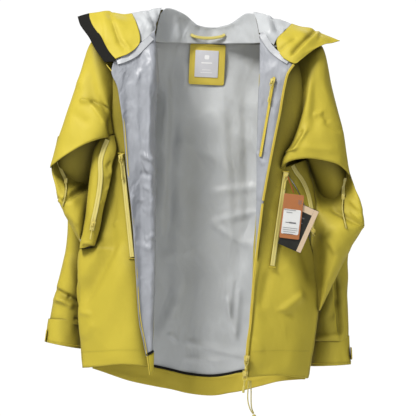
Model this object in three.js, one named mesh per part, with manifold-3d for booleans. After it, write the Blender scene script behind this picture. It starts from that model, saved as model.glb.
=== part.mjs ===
// A three-layer waterproof mountain jacket, hanging open by its neck loop.
// The fronts are turned outwards like lapels, the collar is spread over the
// shoulders, the hood hangs down the back and the sleeves fold at the elbow.
// Millimetres. +X is the wearer's left, +Y the wearer's back, +Z up.
// The origin is the middle of the hang loop at the back of the neck.
import * as THREE from 'three';
import { mergeVertices } from 'three/addons/utils/BufferGeometryUtils.js';
import Module from 'manifold-3d';

const wasm = await Module();
wasm.setup();

// ---- driving dimensions ----
const LOOP_DEPTH = 60; // the panels are laid out from a plane this far in front of the loop
const FABRIC = 2.4; // laminate with its seam allowance and tape, as one solid
const TAPE = 1.6; // a flat strip sewn on a panel
const SEAM_GAP = 0.6; // clear space between a panel and what is sewn to it
const CHAIN_WIDTH = 9.5; // what shows of a water-resistant pocket zip
const EDGE_CHAIN_WIDTH = 7; // one half of the separating front zip
const SLIDER_GAP = 0.4; // running clearance of a slider over its chain
const SLIDER_HEIGHT = 13;
const SLIDER_TOP_WIDTH = 9.4;
const SLIDER_FOOT_WIDTH = 6.4;
const SLIDER_THICK = 4;
const BRIDGE_WIDTH = 2.6;
const BRIDGE_RISE = 4.6;
const BRIDGE_HOLE = 1.5;
const WIRE = 0.8; // radius of a pull's wire
const FRONT_SLIDER_SCALE = 1.2;
const CORD_RADIUS = 1.3;
const LABEL_THICK = 1.2;
const CARD = 0.9;
const LOOP_RADIUS = 2.1;

// ---- colours ----
const CITRON = 0xd6c34a;
const CITRON_DARK = 0xb3a033;
const LINING = 0xb9bdc0;
const LINING_PALE = 0xc6c9cf;
const ZIP_YELLOW = 0xe2d27a;
const BLACK = 0x23221f;
const LABEL_GREY = 0xd5d3d9;
const ORANGE = 0xb9622c;
const RED = 0xb4463c;

const cloth = (color) => new THREE.MeshStandardMaterial({ color, roughness: 0.72, metalness: 0 });
const moulded = (color) => new THREE.MeshStandardMaterial({ color, roughness: 0.45, metalness: 0 });

// ---- helpers: closed solids from lines of points ----

// A smooth line through hand-placed points, with the same number of steps in each gap.
function smoothLine(points, perGap) {
  if (perGap === 1) return points.map((p) => p.clone());
  const curve = new THREE.CatmullRomCurve3(points, false, 'catmullrom', 0.5);
  return curve.getPoints((points.length - 1) * perGap);
}

function smoothNet(rows, perGap) {
  const wide = rows.map((row) => smoothLine(row.map((p) => new THREE.Vector3(...p)), perGap));
  const columns = wide[0].map((_, i) => smoothLine(wide.map((row) => row[i]), perGap));
  return columns[0].map((_, r) => columns.map((column) => column[r]));
}

function geometryOf(positions, triangles) {
  const flat = positions.flatMap((p) => [p.x, p.y, p.z]);
  const geometry = new THREE.BufferGeometry();
  geometry.setAttribute('position', new THREE.Float32BufferAttribute(flat, 3));
  geometry.setIndex(outward(positions, triangles).flat());
  geometry.computeVertexNormals();
  return geometry;
}

// Turns every triangle over when the closed body they form is inside out.
function outward(positions, triangles) {
  let volume = 0;
  for (const [a, b, c] of triangles) {
    volume += positions[a].dot(new THREE.Vector3().crossVectors(positions[b], positions[c]));
  }
  return volume > 0 ? triangles : triangles.map(([a, b, c]) => [a, c, b]);
}

function normalAt(net, r, c) {
  const up = net[Math.max(r - 1, 0)][c];
  const down = net[Math.min(r + 1, net.length - 1)][c];
  const left = net[r][Math.max(c - 1, 0)];
  const right = net[r][Math.min(c + 1, net[0].length - 1)];
  const along = new THREE.Vector3().subVectors(right, left);
  const fall = new THREE.Vector3().subVectors(down, up);
  return new THREE.Vector3().crossVectors(along, fall).normalize();
}

// A sheet of cloth: a net of points given a thickness, closed round its edge.
function sheet(rows, perGap = 2, thickness = FABRIC) {
  const net = smoothNet(rows, perGap);
  const height = net.length;
  const width = net[0].length;
  const positions = [];
  for (const side of [0.5, -0.5]) {
    for (let r = 0; r < height; r += 1) {
      for (let c = 0; c < width; c += 1) {
        const shift = normalAt(net, r, c).multiplyScalar(side * thickness);
        positions.push(net[r][c].clone().add(shift));
      }
    }
  }
  const front = (r, c) => r * width + c;
  const back = (r, c) => height * width + r * width + c;
  const triangles = [];
  const quad = (a, b, c, d) => triangles.push([a, b, c], [a, c, d]);
  for (let r = 0; r < height - 1; r += 1) {
    for (let c = 0; c < width - 1; c += 1) {
      quad(front(r, c), front(r, c + 1), front(r + 1, c + 1), front(r + 1, c));
      quad(back(r, c), back(r + 1, c), back(r + 1, c + 1), back(r, c + 1));
    }
  }
  for (let c = 0; c < width - 1; c += 1) {
    quad(front(0, c), back(0, c), back(0, c + 1), front(0, c + 1));
    quad(front(height - 1, c), front(height - 1, c + 1), back(height - 1, c + 1), back(height - 1, c));
  }
  for (let r = 0; r < height - 1; r += 1) {
    quad(front(r, 0), front(r + 1, 0), back(r + 1, 0), back(r, 0));
    quad(front(r, width - 1), back(r, width - 1), back(r + 1, width - 1), front(r + 1, width - 1));
  }
  return geometryOf(positions, triangles);
}

// A sleeve: an open tube with a wall. A station is a centre, a half width vector
// from the armpit side to the outer side, and a half depth along Y.
function tubeShell(stations, sides = 14, wall = FABRIC) {
  const rings = stations.map(({ centre, across, depth }) => {
    const middle = new THREE.Vector3(...centre);
    return Array.from({ length: sides }, (_, i) => {
      const turn = (2 * Math.PI * i) / sides;
      const side = new THREE.Vector3(...across).multiplyScalar(Math.cos(turn));
      return middle.clone().add(side).add(new THREE.Vector3(0, depth * Math.sin(turn), 0));
    });
  });
  const lines = rings[0].map((_, i) => smoothLine(rings.map((ring) => ring[i]), 2));
  const steps = lines[0].length;
  const positions = [];
  for (let s = 0; s < steps; s += 1) {
    const ring = lines.map((line) => line[s]);
    const middle = ring.reduce((sum, p) => sum.add(p), new THREE.Vector3()).divideScalar(sides);
    for (const p of ring) {
      const inward = new THREE.Vector3().subVectors(middle, p).normalize().multiplyScalar(wall);
      positions.push(p, p.clone().add(inward));
    }
  }
  const outer = (s, i) => 2 * (s * sides + (i % sides));
  const inner = (s, i) => outer(s, i) + 1;
  const triangles = [];
  const quad = (a, b, c, d) => triangles.push([a, b, c], [a, c, d]);
  for (let s = 0; s < steps - 1; s += 1) {
    for (let i = 0; i < sides; i += 1) {
      quad(outer(s, i), outer(s, i + 1), outer(s + 1, i + 1), outer(s + 1, i));
      quad(inner(s, i), inner(s + 1, i), inner(s + 1, i + 1), inner(s, i + 1));
    }
  }
  for (let i = 0; i < sides; i += 1) {
    quad(outer(0, i), inner(0, i), inner(0, i + 1), outer(0, i + 1));
    quad(outer(steps - 1, i), outer(steps - 1, i + 1), inner(steps - 1, i + 1), inner(steps - 1, i));
  }
  return geometryOf(positions, triangles);
}

// A round or flat cord along a line of points.
function cordAlong(points, section, steps) {
  const path = new THREE.CatmullRomCurve3(points.map((p) => new THREE.Vector3(...p)));
  return new THREE.ExtrudeGeometry(section, { extrudePath: path, steps, bevelEnabled: false });
}

function roundSection(radius, sides = 8) {
  const corners = Array.from({ length: sides }, (_, i) => {
    const turn = (2 * Math.PI * i) / sides;
    return new THREE.Vector2(radius * Math.cos(turn), radius * Math.sin(turn));
  });
  return new THREE.Shape(corners);
}

function flatSection(width, thickness) {
  const shape = new THREE.Shape();
  shape.moveTo(-width / 2, -thickness / 2);
  shape.lineTo(width / 2, -thickness / 2);
  shape.lineTo(width / 2, thickness / 2);
  shape.lineTo(-width / 2, thickness / 2);
  shape.closePath();
  return shape;
}

function solidOf(geometry) {
  const bare = geometry.clone();
  bare.deleteAttribute('normal');
  bare.deleteAttribute('uv');
  const merged = mergeVertices(bare, 1e-3);
  return new wasm.Manifold(new wasm.Mesh({
    numProp: 3,
    vertProperties: merged.attributes.position.array,
    triVerts: new Uint32Array(merged.index.array),
  }));
}

function joined(geometries) {
  const [first, ...rest] = geometries.map(solidOf);
  const whole = rest.reduce((sum, solid) => sum.add(solid), first).getMesh();
  const geometry = new THREE.BufferGeometry();
  geometry.setAttribute('position', new THREE.Float32BufferAttribute(whole.vertProperties, 3));
  geometry.setIndex(Array.from(whole.triVerts));
  geometry.computeVertexNormals();
  return geometry;
}

// ---- the jacket's group, and how a piece is placed on a panel ----
const jacket = new THREE.Group();
jacket.position.y = -LOOP_DEPTH;

function add(name, geometry, material, matrix = null) {
  const mesh = new THREE.Mesh(geometry, material);
  mesh.name = name;
  if (matrix) matrix.decompose(mesh.position, mesh.quaternion, mesh.scale);
  jacket.add(mesh);
  return mesh;
}

// The depth of a panel's front face at a place, found by a ray from the front.
// Past the panel's edge there is none, and the place given instead is used.
function depthAt(panel, x, z, otherwise = Infinity) {
  const ray = new THREE.Raycaster(new THREE.Vector3(x, -500, z), new THREE.Vector3(0, 1, 0));
  const plain = new THREE.Mesh(panel.geometry, new THREE.MeshBasicMaterial({ side: THREE.DoubleSide }));
  const hit = ray.intersectObject(plain)[0];
  return hit ? hit.point.y : otherwise;
}

// A straight line down a panel, clear in front of it over a strip's whole width.
// Its slope is how fast the panel falls back across the strip.
function lineOn(panel, top, bottom, width, clear) {
  const ends = [top, bottom].map(([x, z]) => new THREE.Vector3(x, depthAt(panel, x, z), z));
  const middle = new THREE.Vector3().lerpVectors(...ends, 0.5);
  const half = width / 2;
  const at = (shift) => depthAt(panel, middle.x + shift, middle.z, middle.y);
  const [near, far] = [at(-half), at(half)];
  const slope = (far - near) / width;
  let proud = 0;
  for (let step = 0; step <= 8; step += 1) {
    const p = new THREE.Vector3().lerpVectors(...ends, step / 8);
    for (const shift of [-half, 0, half]) {
      proud = Math.max(proud, p.y + slope * shift - depthAt(panel, p.x + shift, p.z));
    }
  }
  const [high, low] = ends.map((p) => p.setY(p.y - proud - clear * Math.hypot(1, slope)));
  return { top: high, bottom: low, slope };
}

// The frame of a strip: X across it, -Y out of the panel, +Z up along it.
function frameOf({ top, bottom, slope }, at = 0.5) {
  const up = new THREE.Vector3().subVectors(top, bottom).normalize();
  const inward = new THREE.Vector3().crossVectors(up, new THREE.Vector3(1, slope, 0)).normalize();
  const across = new THREE.Vector3().crossVectors(inward, up);
  const matrix = new THREE.Matrix4().makeBasis(across, inward, up);
  return matrix.setPosition(new THREE.Vector3().lerpVectors(top, bottom, at));
}

function stripOn(name, panel, top, bottom, width, thickness, material) {
  const line = lineOn(panel, top, bottom, width, thickness / 2 + SEAM_GAP);
  const box = new THREE.BoxGeometry(width, thickness, line.top.distanceTo(line.bottom));
  add(name, box, material, frameOf(line));
  return line;
}

// ---- zip sliders and pulls, in the strip's frame ----
function sliderGeometry() {
  const outline = new THREE.Shape();
  outline.moveTo(-SLIDER_FOOT_WIDTH / 2, -SLIDER_HEIGHT / 2);
  outline.lineTo(SLIDER_FOOT_WIDTH / 2, -SLIDER_HEIGHT / 2);
  outline.lineTo(SLIDER_TOP_WIDTH / 2, SLIDER_HEIGHT / 6);
  outline.lineTo(SLIDER_TOP_WIDTH / 2, SLIDER_HEIGHT / 2);
  outline.lineTo(-SLIDER_TOP_WIDTH / 2, SLIDER_HEIGHT / 2);
  outline.lineTo(-SLIDER_TOP_WIDTH / 2, SLIDER_HEIGHT / 6);
  outline.closePath();
  const body = new THREE.ExtrudeGeometry(outline, { depth: SLIDER_THICK, bevelEnabled: false });
  body.rotateX(Math.PI / 2);

  const arch = new THREE.Shape();
  const foot = BRIDGE_RISE + 0.2;
  arch.moveTo(-foot, 0.5);
  arch.lineTo(-BRIDGE_RISE / 2, -BRIDGE_RISE);
  arch.lineTo(BRIDGE_RISE / 2, -BRIDGE_RISE);
  arch.lineTo(foot, 0.5);
  arch.closePath();
  const hole = new THREE.Path();
  hole.absarc(0, -BRIDGE_RISE / 2, BRIDGE_HOLE, 0, 2 * Math.PI, true);
  arch.holes.push(hole);
  const bridge = new THREE.ExtrudeGeometry(arch, {
    depth: BRIDGE_WIDTH, bevelEnabled: false, curveSegments: 8,
  });
  bridge.translate(0, 0, -BRIDGE_WIDTH / 2);
  bridge.rotateY(Math.PI / 2);
  bridge.translate(0, -SLIDER_THICK, 0);
  const whole = joined([body, bridge]);
  whole.translate(0, -SLIDER_GAP, 0);
  return whole;
}

const PIVOT_DEPTH = SLIDER_GAP + SLIDER_THICK + BRIDGE_RISE / 2;

// A wire staple through the slider's bridge, moulded into a gripped cord end.
function pullGeometry(length) {
  const half = BRIDGE_WIDTH / 2 + 1.1 + WIRE;
  const drop = 9;
  const staple = cordAlong([
    [-1.2, 0, -drop - 2], [-half, 0, -drop + 2], [-half, 0, -2.4], [-half + 1, 0, -0.4], [0, 0, 0],
    [half - 1, 0, -0.4], [half, 0, -2.4], [half, 0, -drop + 2], [1.2, 0, -drop - 2],
  ], roundSection(WIRE, 6), 20);
  const barrel = Math.min(12, length - drop - 6);
  const profile = [
    [0, -length], [2.2, -length + 1], [2.2, -length + barrel - 1], [CORD_RADIUS, -length + barrel + 1],
    [CORD_RADIUS, -drop - 3], [2.3, -drop - 1], [0, -drop],
  ];
  const grip = new THREE.LatheGeometry(profile.map(([r, z]) => new THREE.Vector2(r, z)), 8);
  grip.rotateX(Math.PI / 2);
  return joined([staple, grip]);
}

// A slider on a line of chain with its pull hanging from the bridge.
function sliderAndPull(name, line, chainHalf, at, pullLength, scale = 1) {
  const size = new THREE.Matrix4().makeScale(scale, scale, scale);
  const out = new THREE.Matrix4().makeTranslation(0, -chainHalf, 0);
  const place = frameOf(line, at).multiply(out).multiply(size);
  add(`${name}_slider`, sliderGeometry(), moulded(ZIP_YELLOW), place);
  const pivot = new THREE.Matrix4().makeTranslation(0, -PIVOT_DEPTH, 0);
  add(`${name}_pull`, pullGeometry(pullLength), moulded(ZIP_YELLOW), place.clone().multiply(pivot));
}

// ---- back panel: neck seam to dropped hem ----
const backPanel = add('back_panel', sheet([
  [[-205, 12, -16], [-150, 42, -14], [-80, 64, -12],
    [0, 72, -12], [80, 64, -14], [150, 42, -20], [205, 12, -30]],
  [[-211, 32, -70], [-150, 62, -66], [-80, 80, -62],
    [0, 86, -62], [80, 80, -62], [150, 62, -68], [211, 32, -76]],
  [[-212, 42, -150], [-150, 68, -148], [-80, 84, -146],
    [0, 90, -146], [80, 84, -146], [150, 68, -148], [212, 42, -152]],
  [[-226, 42, -300], [-158, 68, -300], [-82, 85, -300],
    [0, 92, -300], [80, 85, -300], [152, 68, -300], [214, 42, -300]],
  [[-240, 38, -410], [-165, 66, -410], [-84, 85, -410],
    [0, 92, -410], [80, 85, -410], [156, 66, -410], [226, 38, -410]],
  [[-256, 32, -500], [-172, 62, -500], [-86, 84, -500],
    [0, 92, -500], [80, 84, -500], [154, 62, -500], [224, 32, -510]],
  [[-256, 32, -600], [-172, 62, -610], [-86, 84, -620],
    [0, 92, -625], [80, 84, -620], [150, 62, -615], [218, 32, -620]],
  [[-248, 32, -703], [-168, 62, -731], [-84, 82, -750],
    [0, 90, -764], [80, 82, -752], [148, 60, -733], [207, 32, -727]],
]), cloth(CITRON));

// ---- fronts: from the side seam to the line where each one turns outwards ----
const rightFront = add('right_front_panel', sheet([
  [[-205, 2, -18], [-183, -8, -12], [-160, -16, -12], [-138, -26, -18], [-114, -40, -32]],
  [[-209, -34, -76], [-184, -46, -74], [-159, -54, -72], [-133, -57, -70], [-107, -58, -70]],
  [[-209, -44, -140], [-184, -55, -140], [-158, -60, -140], [-131, -62, -140], [-106, -61, -140]],
  [[-201, -42, -210], [-180, -53, -210], [-158, -60, -210], [-131, -62, -210], [-105, -61, -210]],
  [[-211, -27, -300], [-185, -45, -305], [-158, -57, -310], [-131, -62, -315], [-104, -61, -320]],
  [[-240, -12, -436], [-206, -36, -432], [-172, -53, -428], [-138, -62, -424], [-104, -61, -420]],
  [[-268, 0, -462], [-228, -30, -466], [-187, -52, -470], [-145, -62, -472], [-104, -61, -474]],
  [[-269, 4, -590], [-228, -30, -590], [-187, -52, -590], [-145, -62, -590], [-104, -60, -590]],
  [[-264, 6, -703], [-226, -28, -698], [-187, -50, -694], [-148, -58, -694], [-108, -56, -698]],
]), cloth(CITRON));
const leftFront = add('left_front_panel', sheet([
  [[205, 2, -32], [183, -8, -26], [160, -16, -24], [138, -26, -28], [116, -40, -42]],
  [[210, -34, -86], [186, -46, -84], [160, -54, -82], [134, -58, -80], [109, -58, -80]],
  [[208, -44, -150], [184, -56, -150], [158, -60, -150], [131, -62, -150], [106, -61, -150]],
  [[194, -44, -205], [173, -54, -208], [151, -60, -210], [128, -62, -212], [105, -61, -212]],
  [[166, -44, -275], [151, -53, -280], [136, -59, -284], [120, -62, -287], [103, -61, -290]],
  [[196, -28, -345], [174, -46, -345], [151, -57, -345], [127, -62, -345], [102, -61, -345]],
  [[216, -14, -430], [189, -38, -430], [160, -54, -430], [131, -62, -430], [101, -62, -428]],
  [[233, -2, -516], [201, -32, -516], [167, -53, -516], [132, -64, -516], [97, -72, -516]],
  [[224, 2, -620], [192, -30, -620], [158, -51, -620], [124, -65, -620], [90, -75, -620]],
  [[208, 6, -722], [182, -26, -722], [150, -49, -718], [116, -64, -718], [83, -75, -721]],
]), cloth(CITRON));

// ---- turned-out facings, the lining side of the fronts ----
add('right_front_facing', sheet([
  [[-116, -66, 4], [-140, -72, -20], [-163, -79, -44], [-196, -88, -64]],
  [[-107, -66, -96], [-134, -77, -96], [-164, -85, -96], [-191, -88, -96]],
  [[-106, -67, -193], [-130, -78, -193], [-155, -84, -193], [-177, -86, -193]],
  [[-105, -67, -290], [-125, -77, -288], [-145, -83, -286], [-163, -85, -286]],
  [[-105, -67, -400], [-122, -76, -400], [-139, -82, -400], [-154, -84, -400]],
  [[-105, -67, -500], [-120, -75, -500], [-135, -81, -500], [-147, -83, -500]],
  [[-105, -66, -600], [-118, -74, -600], [-130, -80, -600], [-140, -82, -600]],
  [[-107, -63, -702], [-111, -68, -706], [-114, -72, -709], [-118, -75, -712]],
]), cloth(LINING_PALE));
const leftFacing = add('left_front_facing', sheet([
  [[113, -66, -2], [134, -72, -30], [150, -78, -56], [173, -88, -78]],
  [[107, -66, -104], [124, -76, -104], [141, -83, -104], [159, -86, -106]],
  [[105, -67, -168], [118, -76, -168], [132, -82, -168], [145, -85, -168]],
  [[104, -67, -229], [113, -74, -229], [122, -79, -229], [130, -82, -229]],
  [[103, -67, -291], [106, -72, -291], [109, -76, -291], [112, -79, -291]],
  [[102, -67, -350], [104, -70, -350], [106.5, -73, -350], [109, -75, -350]],
]), cloth(LINING_PALE));

// ---- side panels: the gusset under each arm and the strip below it. On the right the
// gusset is a piece of its own, because it bulges in front of the front panel ----
const rightGusset = add('right_gusset', sheet([
  [[-197, -52, -234], [-208, -56, -234], [-221, -52, -234], [-230, -42, -234],
    [-224, -16, -234], [-222, 10, -234], [-220, 34, -234]],
  [[-202, -50, -300], [-216, -57, -300], [-230, -56, -300], [-240, -45, -300],
    [-236, -20, -300], [-234, 8, -300], [-232, 33, -300]],
  [[-214, -46, -355], [-226, -53, -355], [-238, -52, -355], [-246, -41, -355],
    [-246, -16, -355], [-242, 10, -355], [-238, 32, -355]],
  [[-227, -34, -407], [-237, -41, -407], [-247, -41, -407], [-255, -32, -407],
    [-255, -10, -407], [-252, 10, -407], [-244, 29, -407]],
  [[-236, -28, -440], [-245, -33, -440], [-253, -33, -440], [-260, -26, -440],
    [-259, -8, -440], [-257, 10, -440], [-250, 27, -440]],
], 2), cloth(CITRON));
add('right_side_panel', sheet([
  [[-268, 10, -462], [-270, 15, -464], [-269, 20, -466], [-261, 26, -468]],
  [[-272, 10, -590], [-273, 15, -590], [-271, 20, -590], [-261, 26, -590]],
  [[-267, 11, -704], [-267, 16, -704], [-264, 21, -704], [-254, 26, -704]],
], 2), cloth(CITRON));
const leftSide = add('left_side_panel', sheet([
  [[170, -40, -284], [190, -26, -284], [207, -6, -284], [214, 33, -284]],
  [[186, -32, -318], [202, -18, -318], [215, 2, -318], [219, 32, -318]],
  [[201, -22, -350], [214, -10, -350], [223, 6, -350], [223, 30, -350]],
  [[221, -8, -430], [229, 2, -430], [234, 12, -430], [229, 28, -430]],
  [[236, 3, -516], [238, 10, -516], [237, 18, -516], [229, 26, -516]],
  [[227, 7, -620], [229, 13, -620], [228, 19, -620], [223, 26, -620]],
  [[211, 11, -724], [213, 16, -724], [213, 21, -724], [210, 26, -724]],
], 2), cloth(CITRON));

// ---- sleeves: the upper part arches over, the elbow folds to a point in front,
// and the forearm hangs behind it ----
add('right_upper_sleeve', tubeShell([
  { centre: [-215, -8, -108], across: [0, 0, 88], depth: 48 },
  { centre: [-243, -14, -156], across: [-33, 0, 44], depth: 54 },
  { centre: [-257, -20, -208], across: [-52, 0, 4], depth: 57 },
  { centre: [-266, -20, -247], across: [-64, 0, -30], depth: 58 },
]), cloth(CITRON));
add('right_elbow', tubeShell([
  { centre: [-258, -22, -194], across: [-36, 0, 0], depth: 38 },
  { centre: [-281, -18, -280], across: [-38, 0, -6], depth: 42 },
  { centre: [-282, 6, -361], across: [-25, 0, 0], depth: 40 },
  { centre: [-277, 4, -404], across: [-14, 0, 0], depth: 32 },
  { centre: [-272, -4, -437], across: [-7, 0, 0], depth: 20 },
]), cloth(CITRON));
add('right_forearm', tubeShell([
  { centre: [-283, 84, -346], across: [-21, 0, 0], depth: 28 },
  { centre: [-282, 86, -400], across: [-24, 0, 0], depth: 38 },
  { centre: [-286, 88, -500], across: [-29, 0, 0], depth: 44 },
  { centre: [-304, 84, -612], across: [-36, 0, 0], depth: 38 },
]), cloth(CITRON));
add('left_upper_sleeve', tubeShell([
  { centre: [215, -8, -114], across: [0, 0, 84], depth: 48 },
  { centre: [240, -14, -174], across: [30, 0, 33], depth: 54 },
  { centre: [242, -20, -232], across: [44, 0, 4], depth: 57 },
  { centre: [236, -20, -280], across: [60, 0, -19], depth: 58 },
]), cloth(CITRON));
add('left_elbow', tubeShell([
  { centre: [246, -22, -218], across: [30, 0, 0], depth: 38 },
  { centre: [254, -20, -296], across: [35, 0, -4], depth: 42 },
  { centre: [272, -6, -345], across: [38, 0, 0], depth: 44 },
  { centre: [283, 4, -395], across: [41, 0, 0], depth: 46 },
  { centre: [268.5, 2, -458], across: [27.5, 0, 0], depth: 38 },
  { centre: [257.5, 0, -506], across: [15.5, 0, 0], depth: 28 },
  { centre: [247, -4, -560], across: [7, 0, 0], depth: 18 },
]), cloth(CITRON));
add('left_forearm', tubeShell([
  { centre: [276, 84, -382], across: [23, 0, 0], depth: 26 },
  { centre: [272, 88, -440], across: [28, 0, 0], depth: 40 },
  { centre: [266, 88, -530], across: [32, 0, 0], depth: 44 },
  { centre: [262, 84, -648], across: [40, 0, 0], depth: 38 },
]), cloth(CITRON));

// ---- cuffs and their hook-and-loop tabs ----
function cuffAndTab(side, upper, lower, outward) {
  add(`${side}_cuff`, tubeShell([upper, lower]), cloth(CITRON_DARK));
  const reach = upper.centre[0] + outward * (Math.abs(upper.across[0]) + 3.2);
  const middle = (upper.centre[2] + lower.centre[2]) / 2;
  const tab = new THREE.BoxGeometry(2, 46, 26);
  const tilt = Math.atan2(lower.across[0] - upper.across[0] + lower.centre[0] - upper.centre[0],
    lower.centre[2] - upper.centre[2]);
  tab.rotateY(tilt);
  const place = new THREE.Matrix4().makeTranslation(reach + outward * 1.2, upper.centre[1], middle);
  add(`${side}_cuff_tab`, tab, moulded(CITRON_DARK), place);
}
cuffAndTab('right', { centre: [-305, 84, -616], across: [-36.5, 0, 0], depth: 38 },
  { centre: [-310, 82, -660], across: [-37.5, 0, 3], depth: 36 }, -1);
cuffAndTab('left', { centre: [262, 84, -652], across: [40, 0, 0], depth: 38 },
  { centre: [261, 82, -700], across: [43, 0, 2], depth: 36 }, 1);

// ---- collar: back of the neck, the two spread fronts and their facings ----
const backCollar = add('back_collar', sheet([
  [[-98, 4, 44], [-82, 14, 60], [-50, 36, 46], [-25, 56, 26],
    [0, 64, 20], [25, 58, 20], [50, 42, 28], [78, 22, 46], [96, 6, 44]],
  [[-104, -4, 20], [-88, 22, 26], [-56, 44, 22], [-26, 61, 12],
    [0, 67, 9], [26, 61, 9], [56, 44, 14], [86, 22, 20], [102, -2, 18]],
  [[-108, -14, -6], [-92, 20, -7], [-60, 46, -7], [-28, 61, -7],
    [0, 66, -7], [28, 61, -7], [60, 46, -8], [90, 20, -8], [108, -14, -8]],
], 1), cloth(LINING));
add('right_collar_flap', sheet([
  [[-157, -8, 45], [-132, -4, 50], [-106, -2, 56]],
  [[-148, -40, 24], [-130, -36, 30], [-112, -26, 36]],
  [[-137, -64, 2], [-128, -58, 8], [-120, -46, 14]],
]), cloth(LINING));
add('right_collar_facing', sheet([
  [[-161, -8, 44], [-180, -10, 45], [-208, -14, 51], [-232, -18, 47], [-251, -21, 43]],
  [[-152, -42, 24], [-172, -46, 22], [-197, -48, 22], [-219, -48, 18], [-237, -46, 12]],
  [[-141, -66, 0], [-158, -70, -6], [-180, -72, -10], [-202, -70, -12], [-219, -67, -14]],
  [[-147, -76, -20], [-160, -80, -28], [-176, -82, -34], [-190, -82, -38], [-204, -80, -36]],
  [[-156, -84, -30], [-166, -87, -36], [-175, -89, -42], [-184, -91, -47], [-193, -92, -52]],
]), cloth(CITRON));
add('chin_guard', sheet([
  [[-253, -21, 43], [-272, -20, 37]],
  [[-239, -46, 12], [-259, -44, 5]],
  [[-221, -67, -14], [-242, -64, -23]],
  [[-206, -80, -36], [-228, -76, -43]],
  [[-195, -92, -54], [-216, -88, -61]],
]), cloth(BLACK));
add('left_collar_flap', sheet([
  [[170, -8, 24], [143, -4, 37], [106, -2, 48]],
  [[152, -42, 5], [132, -36, 18], [110, -26, 32]],
  [[137, -64, -16], [126, -58, -4], [116, -46, 8]],
]), cloth(LINING));
add('left_collar_facing', sheet([
  [[174, -8, 22], [198, -10, 19], [223, -13, 14], [246, -17, 0], [274, -22, -12]],
  [[156, -42, 6], [182, -46, 2], [208, -48, -3], [230, -46, -11], [252, -40, -20]],
  [[141, -66, -15], [160, -70, -18], [185, -72, -22], [208, -68, -30], [229, -62, -34]],
  [[147, -78, -36], [160, -82, -38], [176, -84, -42], [191, -82, -46], [206, -78, -47]],
  [[152, -88, -46], [159, -90, -51], [166, -91, -55], [173, -92, -59], [180, -92, -63]],
]), cloth(CITRON));

// ---- hood, hanging as an open pouch down the back, with its stiffened brim ----
add('hood', sheet([
  [[-168, 2, 48], [-88, 24, 62], [-48, 44, 46], [0, 75, 20], [48, 48, 28], [84, 28, 50], [168, 2, 30]],
  [[-180, 42, 38], [-104, 58, 54], [-50, 74, 38],
    [0, 94, 14], [50, 76, 22], [104, 58, 42], [180, 42, 20]],
  [[-176, 80, -10], [-108, 96, -14], [-54, 104, -22],
    [0, 108, -30], [54, 104, -24], [108, 96, -20], [176, 80, -24]],
  [[-150, 94, -70], [-98, 106, -98], [-50, 110, -120], [0, 112, -130],
    [50, 110, -122], [98, 106, -104], [150, 94, -80]],
  [[-128, 106, -104], [-82, 118, -156], [-42, 122, -192],
    [0, 124, -205], [42, 122, -194], [82, 118, -160], [128, 106, -112]],
  [[-132, 126, -96], [-86, 146, -148], [-44, 154, -182], [0, 157, -196],
    [44, 154, -184], [86, 146, -152], [132, 126, -104]],
  [[-150, 130, -50], [-98, 152, -84], [-50, 161, -106],
    [0, 165, -116], [50, 161, -108], [98, 152, -88], [150, 130, -58]],
  [[-168, 114, -6], [-106, 140, -22], [-54, 150, -33], [0, 154, -38],
    [54, 150, -35], [106, 140, -28], [168, 114, -16]],
]), cloth(CITRON));
add('hood_brim', sheet([
  [[-166, 111, -2], [-106, 137, -18], [-54, 147, -29], [0, 151, -34],
    [54, 147, -31], [106, 137, -24], [166, 111, -12]],
  [[-156, 98, 6], [-102, 120, -6], [-52, 130, -14], [0, 134, -18],
    [52, 130, -16], [102, 120, -12], [156, 98, -4]],
], 2, 3), cloth(CITRON_DARK));

// ---- lining trims on the inside of the back ----
function trimRows(panel, lines, lift) {
  return lines.map((line) => line.map(([x, z]) => [x, depthAt(panel, x, z) - lift, z]));
}
const HEM_XS = [-225, -170, -114, -78, -46, -10, 18, 46, 69, 110, 150, 190];
const TAPE_TOP = [-676, -690, -701, -709, -717, -721.5, -721.5, -717, -712, -706, -700, -692];
const TAPE_WIDTH = 6;
const HEM_EDGE = [-706, -727, -738, -746, -755, -759, -759, -755, -750, -740, -729, -724];
const trimLift = TAPE / 2 + SEAM_GAP + 1.5;
add('hem_drawcord_tape', sheet(trimRows(backPanel, [
  HEM_XS.map((x, i) => [x, TAPE_TOP[i]]),
  HEM_XS.map((x, i) => [x, TAPE_TOP[i] - TAPE_WIDTH]),
], trimLift), 1, TAPE), cloth(BLACK));
add('back_hem_facing', sheet(trimRows(backPanel, [
  HEM_XS.map((x, i) => [x, TAPE_TOP[i] - TAPE_WIDTH - 1.2]),
  HEM_XS.map((x, i) => [x, HEM_EDGE[i] + 2]),
], trimLift), 1, TAPE), cloth(CITRON_DARK));

const backing = stripOn('label_backing', backPanel, [0, -16], [-4, -102], 76, LABEL_THICK,
  cloth(CITRON));
const labelFrame = frameOf(backing).multiply(
  new THREE.Matrix4().makeTranslation(-1, -LABEL_THICK - SEAM_GAP, 1.5));
add('neck_label', new THREE.BoxGeometry(50, LABEL_THICK, 58), cloth(LABEL_GREY), labelFrame);

add('hang_loop', cordAlong([
  [-34, 51.6, 3], [-27, 51.4, -0.4], [-14, 52, -2.8], [0, 53, -3.6],
  [14, 52, -2.8], [27, 51.4, -0.4], [34, 51.6, 3.5],
], roundSection(LOOP_RADIUS), 14), cloth(ZIP_YELLOW));

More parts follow.
